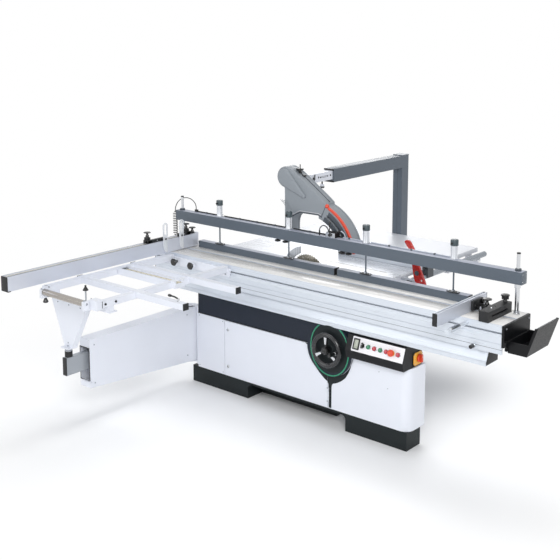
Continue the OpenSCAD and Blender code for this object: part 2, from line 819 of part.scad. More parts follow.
// crosscut frame
fy = -roller_y;
module crosscut_frame() color(white) {
  w = tube_w;
  difference() {
    union() {
      // two cross tubes and two long members
      bx(-962, 0, -700, -700 + w, tt - 40, tt - 1);
      bx(-966, -1, -1145, -1145 + w, tt - 40, tt - 1);
      bx(-965, -925, fy + 60, sy0 - 20, tt - 46, tt - 6);
      bx(-450, -410, fy + 60, sy0 - 20, tt - 46, tt - 6);
    }
    bx(-940, -4, -697, -703 + w, tt - 37, tt - 4);
    bx(-940, -5, -1142, -1148 + w, tt - 37, tt - 4);
    for (x = [-962, -447])
      bx(x, x + 34, fy + 70, sy0 - 24, tt - 43, tt - 9);
  }
  // channel that carries the ruler
  difference() {
    bx(-920, -375, -850, -770, tt - 44, tt);
    bx(-921, -374, -842, -778, tt - 12, tt + 1);
  }
  // plate on the table's side with its two clamp screws
  bx(-1040, -400, sy0 - 20, sy0 - 8, tt - 78, tt - 22);
  bx(-1040, -400, sy0 - 8.1, sy0 - 0.3, tt - 56, tt - 22);
  for (x = [-1002, -730]) {
    translate([x, sy0 - 20, tt - 50]) rotate([90, 0, 0]) star(24, 38);
    ry(x, sy0 - 0.5, sy0 + 6.6, tt - 45, 4.5);
    ry(x, sy0 + 6.5, sy0 + 12.5, tt - 45, 8);
  }
  // bearing blocks of the roller
  for (x = [-898, -494])
    difference() {
      bx(x, x + 18, fy - 24, fy + 62, tt - 60, tt - 4);
      rx(x - 1, x + 19, fy, tt - 22, 8 + fit);
    }
  bx(-965, -880, fy + 44, fy + 62, tt - 46, tt - 6);
  bx(-494, -410, fy + 44, fy + 62, tt - 46, tt - 6);
  bx(-472, -412, fy + 20, fy + 62, tt - 56, tt + 6);
}

module end_roller() color(steel) {
  rx(-878, -496, fy, tt - 22, roller_r);
  rx(-894, -480, fy, tt - 22, 8);
}

module support_post() color(white) {
  // folded plate that narrows down to the pivot
  difference() {
    union() {
      along_y(qy, qy + 6)
        polygon([[-965, tt - 90], [-615, tt - 90], [-772, 520], [-848, 520]]);
      bx(-965, -410, qy, qy + 60, tt - 90, tt - 84);
      along_y(qy, qy + 40)
        polygon([[-621, tt - 90], [-615, tt - 90], [-772, 520], [-778, 520]]);
      along_y(qy, qy + 40)
        polygon([[-965, tt - 90], [-959, tt - 90], [-842, 520], [-848, 520]]);
      bx(-848, -772, qy - 30, qy + 40, 512, 520);
      bx(-960, -930, qy, qy + 40, tt - 84, tt - 46);
      bx(-445, -415, qy, qy + 40, tt - 84, tt - 46);
      rz(hx, qy, 470, 514, 14);
    }
    rz(hx, qy, 465, 476, 5);
  }
}

module arm_tube() color(white) {
  difference() {
    bx(hx - 18, hx + 18, qy - 30, qy + 900, 342, 455);
    bx(hx - 14, hx + 14, qy - 24, qy + 901, 346, 451);
  }
  difference() {
    rz(hx, qy, 455, 500, 22);
    rz(hx, qy, 469, 501, 14 + fit);
  }
}

module swing_arm() color(white) translate([hx, hy, 0]) {
  w = arm_w / 2;
  difference() {
    union() {
      along_x(-w, w) polygon([[0, 540], [-920, 540], [-920, 224], [0, 154]]);
      rz(0, 0, 154, 540, w);
    }
    along_x(3 - w, w - 3)
      polygon([[-60, 534], [-930, 534], [-930, 262], [-914, 262], [-914, 232], [-60, 166]]);
    rz(0, 0, 150, 545, 12 + fit);
  }
  // end frame around the slot
  difference() {
    bx(-w, w, -926, -920, 224, 540);
    bx(3 - w, w - 3, -927, -919, 273, 480);
  }
  // tab below the slot
  bx(-16, 70, -940, -920, 288 - 20, 272);
}

module crosscut_fence() color(alu) {
  x0 = fence_c[0] - 25;
  x1 = fence_c[0] + 35;
  y0 = fence_c[1] + 45 - fence_len;
  difference() {
    union() {
      bx(x0, x1, y0, fence_c[1] + 15, tt + 5, tt + 5 + fence_h);
      rz(x1 - 30, fence_c[1] + 15, tt + 5, tt + 5 + fence_h, 30);
    }
    // slots along the top and in the face
    for (x = [x0 + 12, x0 + 38]) {
      bx(x, x + 8, y0 - 1, fence_c[1] - 20, tt + fence_h - 3, tt + fence_h + 6);
      bx(x - 4, x + 12, y0 - 1, fence_c[1] - 20, tt + fence_h - 12, tt + fence_h - 3);
    }
    bx(x0 + 10, x1 - 10, y0 - 1, fence_c[1] - 20, tt + 16, tt + fence_h - 20);
    rz(fence_c[0], fence_c[1], tt, tt + 120, 8 + fit);
  }
}
// a clamp block on the fence (yk) that carries a flip stop beside it (yf)
module stop_block(yk, yf) {
  x0 = fence_c[0] - 25;
  z1 = tt + 5 + fence_h;
  y0 = min(yk - 22, yf - 12);
  y1 = max(yk + 22, yf + 12);
  difference() {
    union() {
      bx(x0 + 6, x0 + 54, yk - 22, yk + 22, z1 + 0.3, z1 + 24);
      bx(x0 + 38.5, x0 + 45.5, yk - 14, yk + 14, z1 - 9, z1 + 1);
      bx(x0 + 34.6, x0 + 49.4, yk - 14, yk + 14, z1 - 16.6, z1 - 8.6);
      // arm out to the flip stop
      bx(x0 + 30, x0 + 54, y0, y1, z1 + 2, z1 + 22);
    }
    rx(x0 + 20, x0 + 70, yf, z1 + 12, 4 + fit);
  }
  translate([x0 + 20, yk, z1 + 24]) star(knob_r, 32);
}
module flip_stop(y) {
  x0 = fence_c[0] + 37.5;
  z = tt + 5 + fence_h + 12;
  difference() {
    along_x(x0, x0 + 8) {
      translate([y, z + 92]) circle(22);
      polygon([
        [y - 22, z + 92], [y - 19, z - 60], [y - 8, z - 88], [y + 12, z - 100],
        [y + 20, z - 96], [y + 16, z - 40], [y + 22, z + 92]
      ]);
    }
    // long window near the top
    along_x(x0 - 1, x0 + 9) {
      translate([y, z + 92]) circle(11);
      translate([y - 11, z + 40]) square([22, 52]);
      translate([y, z + 40]) circle(11);
    }
  }
  rx(x0 - 26, x0 + 12, y, z, 4);
  rx(x0 + 8, x0 + 12, y, z, 7);
}
module stop_block_1() color(alu) stop_block(-516, -386);
module stop_block_2() color(alu) stop_block(-147, -231);
module flip_stop_1() color(white) flip_stop(-386);
module flip_stop_2() color(white) flip_stop(-231);

// pressure beam
module pressure_beam() color(grey) difference() {
  bx(sx0, sx1 - 6, beam_y - beam_w / 2, beam_y + beam_w / 2, beam_z, beam_z + beam_h);
  bx(sx0 + 5, sx1 - 11, beam_y - beam_w / 2 + 4, beam_y + beam_w / 2 - 4,
    beam_z + 4, beam_z + beam_h - 4);
  for (x = cyl_x)
    rz(x, beam_y, beam_z - 1, beam_z + beam_h + 1, 5 + fit);
  for (x = post_xs)
    rz(x, beam_y, beam_z - 1, beam_z + beam_h + 1, 10 + fit);
}

module beam_posts() color(steel) for (x = post_xs) difference() {
  union() {
    rz(x, beam_y, tt, tt + 10, 19);
    rz(x, beam_y, tt + 10, beam_z - 26, 13);
    rz(x, beam_y, beam_z - 26, beam_z - 0.3, 17);
    rz(x, beam_y, beam_z - 1, tt + 345, 10);
    rz(x, beam_y, tt - deck_t + 0.5, tt + 1, 5.7);
  }
  rz(x, beam_y, tt + 335, tt + 346, 3);
}

module air_cylinders() color(white) for (x = cyl_x) difference() {
  z0 = beam_z + beam_h;
  union() {
    rz(x, beam_y, z0, z0 + 118, cyl_r);
    rz(x, beam_y, z0 + 82, z0 + 118, cyl_r + 3);
    rz(x, beam_y, z0, z0 + 8, cyl_r + 3);
  }
  rz(x, beam_y, z0 + 10, z0 + 108, cyl_r - 4);
  rz(x, beam_y, z0 - 1, z0 + 11, 5 + fit);
  ry(x, beam_y - 40, beam_y - cyl_r + 6, z0 + 98, 3);
}

module press_bar(x0, x1, xs) {
  difference() {
    bx(x0, x1, beam_y - 2, beam_y + 49, tt + 0.3, tt + bar_h);
    bx(x0 - 1, x1 + 1, beam_y + 4, beam_y + 43, tt + 8, tt + bar_h - 4);
  }
  for (x = xs) {
    // winged foot, rod and piston
    bx(x - 26, x + 26, beam_y - 8, beam_y + 20, tt + bar_h, tt + bar_h + 7);
    rz(x, beam_y, tt + bar_h, tt + bar_h + 18, 9);
    rz(x, beam_y, tt + bar_h, beam_z + beam_h + 24, 5);
    rz(x, beam_y, beam_z + beam_h + 14, beam_z + beam_h + 24, cyl_r - 4 - fit);
  }
}
module press_bar_1() color(grey) press_bar(-935, 278, [cyl_x[0], cyl_x[1]]);
module press_bar_2() color(grey) press_bar(302, sx1 - 345, [cyl_x[2], cyl_x[3]]);

module air_line() color(black) {
  z = beam_z + beam_h;
  r = cyl_r + 3;
  // hose along the beam, from each cylinder to the next
  rx(fit_x, cyl_x[0] - r - 0.3, hose_y, z + 4.5, 4);
  rx(cyl_x[0] + r + 0.3, cyl_x[1] - r - 0.3, hose_y, z + 4.5, 4);
  rx(cyl_x[1] + r + 0.3, valve_x - 30, hose_y, z + 4.5, 4);
  rx(valve_x + 30, cyl_x[2] - r - 0.3, hose_y, z + 4.5, 4);
  rx(cyl_x[2] + r + 0.3, cyl_x[3] - r - 0.3, hose_y, z + 4.5, 4);
  // socket of the coiled hose
  bx(fit_x - 14, fit_x + 8, hose_y - 8, hose_y + 8, z, z + 16);
  // valve block
  difference() {
    bx(valve_x - 36, valve_x + 36, beam_y - 22, hose_y + 8, z, z + 32);
    ry(valve_x, beam_y - 40, beam_y + 2, z + 18, 4 + fit);
  }
  // two loops of hose beside the valve
  for (s = [-1, 1])
    translate([valve_x + s * 66, beam_y - 2, z + (s < 0 ? 30 : 12)]) rotate([90, 0, 0]) {
      rotate_extrude(angle = 180) translate([36, 0]) circle(3.5);
      // ferrule where the loop meets the beam
      translate([s * 36, 2, 0]) rotate([90, 0, 0]) cylinder(h = s < 0 ? 32 : 14, r = 5);
    }
}

module valve_lever() color(black) {
  z = beam_z + beam_h + 18;
  ry(valve_x, beam_y - 34, beam_y, z, 4);
  ry(valve_x, beam_y - 34, beam_y - 26, z, 10);
  rz(valve_x, beam_y - 30, z, z + 78, 3.5);
  translate([valve_x, beam_y - 30, z + 80]) sphere(8);
}

// coiled hose: curls from a sine and cosine, straight ends of one diameter
curl_p = (curl_z1 - curl_z0) / curl_n;
lead_n = 4;
curl_k = 8 * curl_n;
arch_n = 16;
hose_n = lead_n + curl_k + arch_n + 2;
hose_end = [fit_x - 7, hose_y, beam_z + beam_h + 16.3];
function curl_at(t) = let (r = curl_r * min(1, min(t, curl_n - t)))
  [curl_x + r * cos(360 * t), hose_y + r * sin(360 * t), curl_z0 + curl_p * t];
function arch_at(u) = let (w = (hose_end[0] - curl_x) / 2, e = hose_end[2] + 14)
  [curl_x + w * (1 - cos(180 * u)), hose_y,
    curl_z1 + (e - curl_z1) * u + arch_h * sin(180 * u)];
function hose_pt(i) =
  i < lead_n ? [curl_x, hose_y, tt + 14.3 + (curl_z0 - tt - 14.3) * i / lead_n] :
  i <= lead_n + curl_k ? curl_at((i - lead_n) / 8) :
  i <= lead_n + curl_k + arch_n ? arch_at((i - lead_n - curl_k) / arch_n) :
  hose_end + [0, 0, 7 * (hose_n - i)];
pts_c = [for (i = [0:hose_n]) hose_pt(i)];
// least distance between points of the curve that are not neighbours
hose_gap = min([for (i = [0:hose_n - 6]) min([for (j = [i + 6:hose_n])
  norm(pts_c[i] - pts_c[j])])]) - 2 * wire_r;
echo(str("least gap of the coiled hose to itself: ", hose_gap, " mm"));
function unit(v) = v / norm(v);
function hose_dir(i) = i == 0 || i == hose_n ? [0, 0, i == 0 ? 1 : -1] :
  unit(pts_c[i + 1] - pts_c[i - 1]);
ring_k = 6;
// each ring keeps the first one's heading, turned along with the curve
function frames(i, u) = i > hose_n ? [] :
  let (d = hose_dir(i), w = unit(u - d * (u * d)))
  concat([[d, w]], frames(i + 1, w));
hose_fr = frames(0, [1, 0, 0]);
module curly_hose() color(black) {
  pts = [for (i = [0:hose_n]) for (j = [0:ring_k - 1])
    let (a = 360 * j / ring_k, w = hose_fr[i][1], v = cross(hose_fr[i][0], w))
    pts_c[i] + wire_r * (w * cos(a) + v * sin(a))];
  sides = [for (i = [0:hose_n - 1]) for (j = [0:ring_k - 1]) for (h = [0, 1])
    let (a = i * ring_k + j, b = i * ring_k + (j + 1) % ring_k)
    h == 0 ? [a, a + ring_k, b + ring_k] : [a, b + ring_k, b]];
  ends = [for (j = [1:ring_k - 2]) for (h = [0, 1])
    let (q = hose_n * ring_k)
    h == 0 ? [0, j, j + 1] : [q, q + j + 1, q + j]];
  polyhedron(points = pts, faces = concat(sides, ends));
}

// guard
module hood_arm() color(white) {
  h = tele / 2;
  zc = post_top - 40;
  difference() {
    bx(post_x - h, post_x + h, 92, 845, zc - h, zc + h);
    bx(post_x - h + 4, post_x + h - 4, 96, 846, zc - h + 4, zc + h - 4);
    // slot for the clamp
    bx(post_x - h - 1, post_x - h + 5, 200, 300, zc - 4, zc + 4);
  }
  difference() {
    union() {
      ry(post_x, 60, 92, zc, 15);
      ry(post_x, 78, 92, zc, 28);
    }
    ry(post_x, 59, 75, zc, 5);
  }
  // clamp with its hanging cone knob
  rz(post_x, 268, zc - h - 30, zc - h, 5);
  rz(post_x, 268, zc - h - 48, zc - h - 26, 14);
}

hood_c = [41, tt + 93];
module hood_outline() {
  translate([-178, tt + 580]) circle(70);
  polygon([
    [-182, tt + 520], [-240, tt + 545], [-160, tt + 645], [-138, tt + 645], [-18, tt + 569],
    [163, tt + 443], [153, tt + 362], [-48, tt + 357], [-125, tt + 318],
    [-125, tt + 145], [-182, tt + 145]
  ]);
  translate(hood_c) sector(250, 357, 8, 76);
}
module hood() color(grey) difference() {
  union() {
    along_y(-28, 72) hood_outline();
    // moulded rib that runs down from the nose
    translate([-178, -28, tt + 580]) rotate([0, 33, 0]) {
      rotate([0, 90, 0]) cylinder(h = 190, r = 8);
    }
    translate([172, -26, tt + 426]) rotate([-90, 0, 0]) cylinder(h = 40, r = 14);
  }
  // open inside, towards the blade
  along_y(-22, 66) {
    polygon([
      [-120, tt + 300], [-172, tt + 390], [-172, tt + 470], [-20, tt + 545],
      [130, tt + 440], [138, tt + 350]
    ]);
    translate(hood_c) sector(256, 283, 6, 60);
    translate(hood_c) sector(307, 351, 6, 60);
  }
  // slot between the two arcs of the nose
  along_y(-40, 80) translate(hood_c) sector(289, 301, 16, 66);
  bx(-176, -131, -22, 66, tt + 140, tt + 320);
  ry(post_x, 50, 90, post_top - 40, 15 + fit);
}

// controls
module button(i, r) on_panel(btn_x[i], 0) {
  translate([0, 0, 4]) cylinder(h = 9, r = r);
  translate([0, 0, -14]) cylinder(h = 19, r = 8);
  translate([0, 0, -14]) cylinder(h = 4, r = 9.5);
}
module selector_switch() color(black) on_panel(btn_x[0], 0) {
  translate([0, 0, 0.3]) cylinder(h = 6, r = 13);
  translate([-4, -14, 5]) cube([8, 28, 11]);
  translate([0, 0, -10]) cylinder(h = 12, r = 6);
}
module green_button_1() color(green) button(1, 12);
module red_button_1() color(red) button(2, 12);
module green_button_2() color(green) button(3, 12);
module red_button_2() color(red) button(4, 12);
module red_button_3() color(red) button(6, 12);
module emergency_stop() color(red) on_panel(btn_x[5], 0) {
  translate([0, 0, -14]) cylinder(h = 34, r = 8);
  translate([0, 0, -14]) cylinder(h = 4, r = 9.5);
  translate([0, 0, 14]) cylinder(h = 12, r = 18);
  translate([0, 0, 26]) cylinder(h = 4, r = 14);
}
module main_switch() color(red) translate([px1, -190, band_z0 + 48]) rotate([0, 90, 0]) {
  translate([0, 0, 3.3]) cylinder(h = 14, r = 24);
  translate([-24, -8, 16]) cube([48, 16, 14]);
  translate([0, 0, -8]) cylinder(h = 14, r = 8);
}

// rip fence
module rip_fence_head() color(steel) translate([0, rip_y, 0]) {
  difference() {
    bx(gb[0] - 26, gb[0] + 26, 0, 70, gb[1] - 8, tt + 40);
    ry(gb[0], -1, 71, gb[1], 20 + fit);
    bx(gb[0] - 20, gb[0] + 20, -1, 71, gb[1] - 10, gb[1]);
    bx(gb[0] - 40, main_x1 + 2, -1, 71, gb[1] - 10, tt + 1);
  }
  bx(565, gb[0] + 26, 0, 70, tt + 1, tt + 62);
  // arm with the tongue that holds the fence
  bx(480, 570, 0, 20, tt + 6, tt + 56);
  bx(480, 545, -9, 1, tt + 25, tt + 35);
  bx(480, 545, -14.5, -8, tt + 21, tt + 39);
  translate([gb[0] - 5, 42, tt + 62]) star(20, 30);
}
module rip_fence_beam() color(alu) translate([0, rip_y, 0]) {
  difference() {
    bx(-40, 640, -40, -0.3, tt + 1, tt + 60);
    bx(-41, 641, -35, -21, tt + 8, tt + 53);
    // slot for the tongue
    bx(-41, 641, -9, 1, tt + 24.9, tt + 35.1);
    bx(-41, 641, -16, -7.9, tt + 20, tt + 40);
  }
  rz(-22, -18, tt + 60, tt + 80, 11);
}

// assembly
plinth();
front_housing();
fascia_band();
rear_cabinet();
main_table();
extension_tables();
fixed_rail();
guide_bar();
guard_post();
control_box();
push_stick();
left_door();
handwheel();
crank_handle();
tilt_frame();
lift_carriage();
main_motor();
riving_knife();
drive_belt();
main_arbor();
saw_blade();
motor_pulley();
scoring_blade();
sliding_table();
end_tray();
edging_shoe();
mitre_base();
mitre_fence();
roller_carriage();
index_plunger();
crosscut_frame();
end_roller();
support_post();
arm_tube();
swing_arm();
crosscut_fence();
stop_block_1();
stop_block_2();
flip_stop_1();
flip_stop_2();
pressure_beam();
beam_posts();
air_cylinders();
press_bar_1();
press_bar_2();
air_line();
curly_hose();
valve_lever();
hood_arm();
hood();
selector_switch();
green_button_1();
red_button_1();
green_button_2();
red_button_2();
emergency_stop();
red_button_3();
main_switch();
rip_fence_head();
rip_fence_beam();
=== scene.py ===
"""Looks of the sliding table saw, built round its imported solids. The pieces are drawn in millimetres."""
import math

import bmesh
import bpy
from mathutils import Matrix, Vector


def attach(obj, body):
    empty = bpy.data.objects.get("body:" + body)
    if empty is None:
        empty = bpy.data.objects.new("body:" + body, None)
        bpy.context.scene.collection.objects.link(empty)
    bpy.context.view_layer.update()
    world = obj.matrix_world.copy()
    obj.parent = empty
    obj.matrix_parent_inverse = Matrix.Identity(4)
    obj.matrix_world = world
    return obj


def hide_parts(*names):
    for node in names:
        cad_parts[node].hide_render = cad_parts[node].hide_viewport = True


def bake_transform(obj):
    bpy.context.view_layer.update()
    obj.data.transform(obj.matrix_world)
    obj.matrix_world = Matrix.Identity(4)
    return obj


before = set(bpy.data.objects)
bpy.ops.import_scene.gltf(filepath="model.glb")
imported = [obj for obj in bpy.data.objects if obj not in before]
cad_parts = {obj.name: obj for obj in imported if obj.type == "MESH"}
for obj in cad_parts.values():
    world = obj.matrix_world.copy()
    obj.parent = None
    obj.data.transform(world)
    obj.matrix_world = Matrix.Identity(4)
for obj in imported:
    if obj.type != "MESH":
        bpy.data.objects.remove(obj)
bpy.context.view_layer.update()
scene = bpy.context.scene
scene.view_settings.view_transform = "Standard"
TT = 900.0  # height of the table tops


def new_object(name, data):
    ob = bpy.data.objects.new(name, data)
    scene.collection.objects.link(ob)
    return ob


# camera: as far off and as high as the photograph's, looking a little down, with a small shift
def make_camera():
    data = bpy.data.cameras.new("camera")
    data.lens, data.sensor_width = 62.6, 36
    data.shift_y = -0.2
    cam = new_object("camera", data)
    turn, dip = math.radians(40.3), math.radians(8.83)
    look = Vector((-math.sin(turn) * math.cos(dip), math.cos(turn) * math.cos(dip), -math.sin(dip)))
    cam.location = (3.915, -4.904, 2.53)
    cam.rotation_mode = "QUATERNION"
    cam.rotation_quaternion = look.to_track_quat("-Z", "Y")
    scene.camera = cam


make_camera()


# materials
def rgb(code):
    parts = [int(code[i : i + 2], 16) / 255 for i in (1, 3, 5)]
    return [c / 12.92 if c <= 0.04045 else ((c + 0.055) / 1.055) ** 2.4 for c in parts]


def add(tree, kind, inputs=(), **settings):
    """A shader node; each input named gets its value, or a link where a socket is given."""
    node = tree.nodes.new("ShaderNode" + kind)
    for key, value in settings.items():
        setattr(node, key, value)
    for key, value in dict(inputs).items():
        if isinstance(value, bpy.types.NodeSocket):
            tree.links.new(value, node.inputs[key])
        else:
            node.inputs[key].default_value = value
    return node


def mixed(tree, factor, a, b):
    return add(tree, "Mix", {"Factor": factor, "A": a, "B": b}, data_type="RGBA").outputs["Result"]


def ranged(tree, value, from_min, from_max, to_min, to_max):
    return add(tree, "MapRange", {"Value": value, "From Min": from_min, "From Max": from_max,
                                  "To Min": to_min, "To Max": to_max}).outputs["Result"]


# grain: how fine roughness and bump vary, one number or three for x, y and z
ALONG_X, ALONG_Y, ALONG_Z = (4, 420, 420), (420, 4, 420), (420, 420, 4)
PEEL = 180
SOFT_EDGE = 0.0012  # radius that the shading rounds edges with, in metres
WHITE = (1, 1, 1, 1)


def make_mat(name, code, rough=0.4, metal=0.0, vary=0.05, size=5.0, grain=PEEL, bump=0.1,
             depth=0.0002, coat=0.0, edge=0.0, rough_vary=0.1, speck=0.0, alpha=1.0, spec=0.5, split=None):
    """Procedural surface: soft colour clouds, directional grain in roughness and bump, patchy lighter or
    darker edges.
    """
    m = bpy.data.materials.new(name)
    m.use_nodes = True
    tree = m.node_tree
    sh = tree.nodes["Principled BSDF"].inputs
    for key, value in (("Metallic", metal), ("Coat Weight", coat), ("Coat Roughness", 0.12),
                       ("Specular IOR Level", spec), ("Alpha", alpha)):
        sh[key].default_value = value
    base = rgb(code)
    m.diffuse_color = (*base, 1)

    def shade(k):
        return (*[min(1, c * k) for c in base], 1)

    coord = add(tree, "TexCoord").outputs["Object"]
    cloud = add(tree, "TexNoise", {"Scale": size, "Detail": 4, "Vector": coord}).outputs["Fac"]
    colour = mixed(tree, cloud, shade(1 - vary), shade(1 + vary))
    if split:
        # another colour beyond one place along X
        place, other = split
        x = add(tree, "SeparateXYZ", {"Vector": coord}).outputs["X"]
        beyond = add(tree, "Math", {0: x, 1: place}, operation="GREATER_THAN").outputs["Value"]
        colour = mixed(tree, beyond, colour, (*rgb(other), 1))
    fineness = grain if isinstance(grain, tuple) else (grain,) * 3
    stretched = add(tree, "Mapping", {"Scale": fineness, "Vector": coord}).outputs["Vector"]
    fine = add(tree, "TexNoise", {"Scale": 1, "Detail": 3, "Vector": stretched}).outputs["Fac"]
    low, high = max(0.03, rough - rough_vary), min(1, rough + rough_vary)
    tree.links.new(ranged(tree, fine, 0.3, 0.7, low, high), sh["Roughness"])
    soft = add(tree, "Bevel", {"Radius": SOFT_EDGE}, samples=3).outputs["Normal"]
    relief = add(tree, "Bump", {"Strength": bump, "Distance": depth, "Height": fine, "Normal": soft})
    tree.links.new(relief.outputs["Normal"], sh["Normal"])
    if speck:
        # dark flecks, as in cast plates and moulded plastic
        dots = add(tree, "TexNoise", {"Scale": 260, "Vector": coord}).outputs["Fac"]
        colour = mixed(tree, ranged(tree, dots, 0.62, 0.7, 0, speck), colour, shade(0.5))
    if edge:
        # edges that turn lighter (edge above 0) or darker (below 0) where the surface turns
        facing = add(tree, "NewGeometry").outputs["Normal"]
        dot = add(tree, "VectorMath", {0: soft, 1: facing}, operation="DOT_PRODUCT").outputs["Value"]
        turn = ranged(tree, dot, 0.995, 0.85, 0, abs(edge))
        edge_tint = add(tree, "Math", {0: turn, 1: cloud}, operation="MULTIPLY").outputs["Value"]
        light = (*[c + (0.9 - c) * 0.6 for c in base], 1)
        colour = mixed(tree, edge_tint, colour, light if edge > 0 else shade(0.5))
    tree.links.new(colour, sh["Base Color"])
    return m


M = {
    "white": make_mat("white_powder", "#E6E9F1", 0.36, vary=0.03, bump=0.12, coat=0.15, edge=-0.35),
    "cream": make_mat("cream_top", "#F3F1EE", 0.3, 0.1, vary=0.03, grain=ALONG_X, bump=0.05, edge=-0.3),
    "plinth": make_mat("plinth_black", "#1A2022", 0.5, vary=0.1, bump=0.2, edge=0.15, spec=0.25),
    "gloss": make_mat("rim_black", "#17181B", 0.22, vary=0.15, grain=160, bump=0.05, coat=0.4),
    "box": make_mat("box_black", "#0E0F12", 0.4, vary=0.12, bump=0.15, edge=0.2, spec=0.25),
    "band": make_mat("band_black", "#1F2632", 0.42, vary=0.1, bump=0.15, edge=0.15, spec=0.25),
    "slate": make_mat("slate_powder", "#56606B", 0.38, vary=0.06, bump=0.15, coat=0.1, edge=0.3),
    # lighter copy of the slate paint: a painted highlight for the lit tops of the beam and press bars
    "slate_top_highlight": make_mat("slate_painted_highlight", "#A9AEBC", 0.4),
    "alu": make_mat("anodised", "#D8DEE6", 0.36, 0.3, vary=0.03, grain=ALONG_X, bump=0.06, edge=0.2),
    "alu_y": make_mat("anodised_y", "#D6DAE4", 0.4, 0.4, vary=0.02, grain=ALONG_Y, bump=0.015, edge=0.15),
    "alu_z": make_mat("anodised_z", "#D5D8DD", 0.3, 0.8, grain=ALONG_Z, bump=0.06, edge=0.2),
    "table": make_mat("ground_table", "#DADDE3", 0.28, 0.35, vary=0.04, grain=ALONG_X, bump=0.05, edge=-0.3),
    "wing": make_mat("wing_steel", "#DFE1E6", 0.4, 0.15, vary=0.04, grain=ALONG_Y, bump=0.06, edge=-0.3),
    "steel": make_mat("bright_steel", "#B9BDC3", 0.26, 1.0, vary=0.06, grain=(90, 420, 90),
                      bump=0.06, edge=0.2),
    "chrome": make_mat("chrome", "#D8DADD", 0.1, 1.0, vary=0.03, bump=0.02, rough_vary=0.05),
    # cast iron; also used for painted shade in the grooves of the fence and the sliding table
    "iron": make_mat("cast_iron", "#5A5E62", 0.55, 0.6, vary=0.15, size=20, grain=140,
                     bump=0.5, depth=0.0006, edge=0.3, speck=0.4),
    "motor": make_mat("motor_paint", "#4C6272", 0.42, vary=0.08, bump=0.3, edge=0.3, speck=0.2),
    "black": make_mat("moulded_black", "#141517", 0.5, vary=0.15, grain=260, bump=0.3, edge=0.15),
    "knob": make_mat("knob_black", "#0D0E0F", 0.3, vary=0.15, grain=220, bump=0.12, coat=0.3),
    "rubber": make_mat("hose_black", "#121213", 0.38, vary=0.2, grain=300, bump=0.2, coat=0.2),
    "belt": make_mat("belt_rubber", "#191919", 0.7, vary=0.2, grain=(60, 500, 60), bump=0.6, depth=0.0005),
    "hood": make_mat("hood_shell", "#8B9197", 0.42, vary=0.06, size=3, grain=210, bump=0.12, edge=0.2),
    # dark grey of the hood trim; also used for painted shade in vent slots and under louvres
    "dark_trim_and_shade": make_mat("dark_trim_and_painted_shade", "#444B53", 0.42, vary=0.08, grain=210, bump=0.15, edge=0.2),
    "red": make_mat("red_gloss", "#C4231A", 0.22, vary=0.08, bump=0.05, coat=0.5),
    "orange": make_mat("red_orange", "#DE4526", 0.3, vary=0.06, bump=0.06, coat=0.3),
    "lamp_red": make_mat("button_red", "#B21C34", 0.2, vary=0.1, size=60, bump=0.04, coat=0.6),
    "lamp_green": make_mat("button_green", "#14784F", 0.2, vary=0.1, size=60, bump=0.04, coat=0.6),
    "ring": make_mat("green_ring", "#1F8A66", 0.3, vary=0.08, size=12, bump=0.05, coat=0.3),
    "yellow": make_mat("switch_yellow", "#E9A51E", 0.32, vary=0.06, bump=0.05, coat=0.2),
    "label": make_mat("white_panel", "#F1EFF2", 0.3, vary=0.02, bump=0.03),
    "screen": make_mat("screen_grey", "#A9AE9F", 0.14, vary=0.1, size=30, bump=0.02, coat=0.5),
    "roller": make_mat("roller_steel", "#A8A39D", 0.16, 1.0, vary=0.12, size=3, grain=ALONG_X, bump=0.04),
    "tube": make_mat("tube_grey", "#A6ABB1", 0.42, 0.3, vary=0.06, grain=ALONG_Y, bump=0.25, edge=0.2),
    "ruler": make_mat("ruler_tape", "#D3CBB4", 0.45, 0.1, vary=0.06, size=30, grain=ALONG_X, bump=0.04),
    "tick": make_mat("scale_ink", "#3A3A38", 0.5, vary=0.1, bump=0.05),
    "tape": make_mat("scale_tape", "#E2DDCF", 0.35, 0.15, vary=0.06, size=30, grain=ALONG_X, bump=0.04),
    "clear": make_mat("clear_white", "#EEF1F5", 0.14, vary=0.03, bump=0.02, coat=0.4, alpha=0.72),
    "cap": make_mat("cylinder_cap", "#3E4B50", 0.4, vary=0.1, edge=0.2),
    "blade": make_mat("blade_steel", "#C6BFAF", 0.28, 0.7, vary=0.08, size=14, grain=140, bump=0.08),
    "knife": make_mat("knife_steel", "#D3D6DA", 0.3, 0.4, vary=0.04, grain=ALONG_Z, bump=0.05),
    "bar": make_mat("guide_steel", "#8F959C", 0.24, 0.9, grain=ALONG_Y, bump=0.05),
    # past x 0.33 m the air hose is painted the light grey of the beam's painted top highlight, so it shows no
    # dark line along the lit top
    "line": make_mat("air_hose", "#141415", 0.4, vary=0.2, grain=300, bump=0.15, split=(0.33, "#B9BEC8")),
    "brass": make_mat("brass_fitting", "#C9A35A", 0.3, 1.0, vary=0.06, bump=0.06),
}
NODE_MATS = {
    "plinth": "plinth",
    "white": "front_housing rear_cabinet left_door crosscut_frame support_post swing_arm hood_arm",
    "band": "fascia_band",
    "table": "main_table",
    "wing": "extension_tables",
    "alu": "fixed_rail sliding_table rip_fence_beam",
    "bar": "guide_bar",
    "slate": "guard_post pressure_beam press_bar_1 press_bar_2",
    "box": "control_box end_tray",
    "knob": "handwheel crank_handle index_plunger valve_lever",
    "iron": "tilt_frame lift_carriage roller_carriage rip_fence_head",
    "motor": "main_motor",
    "knife": "riving_knife",
    "belt": "drive_belt",
    "steel": "main_arbor motor_pulley",
    "blade": "saw_blade scoring_blade",
    "black": "edging_shoe stop_block_1 stop_block_2 selector_switch",
    "gloss": "mitre_base",
    "alu_y": "mitre_fence crosscut_fence",
    "roller": "end_roller",
    "tube": "arm_tube",
    "chrome": "beam_posts",
    "line": "air_line",
    "red": "main_switch",
}
for key, names in NODE_MATS.items():
    for node in names.split():
        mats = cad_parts[node].data.materials
        mats.clear()
        mats.append(M[key])


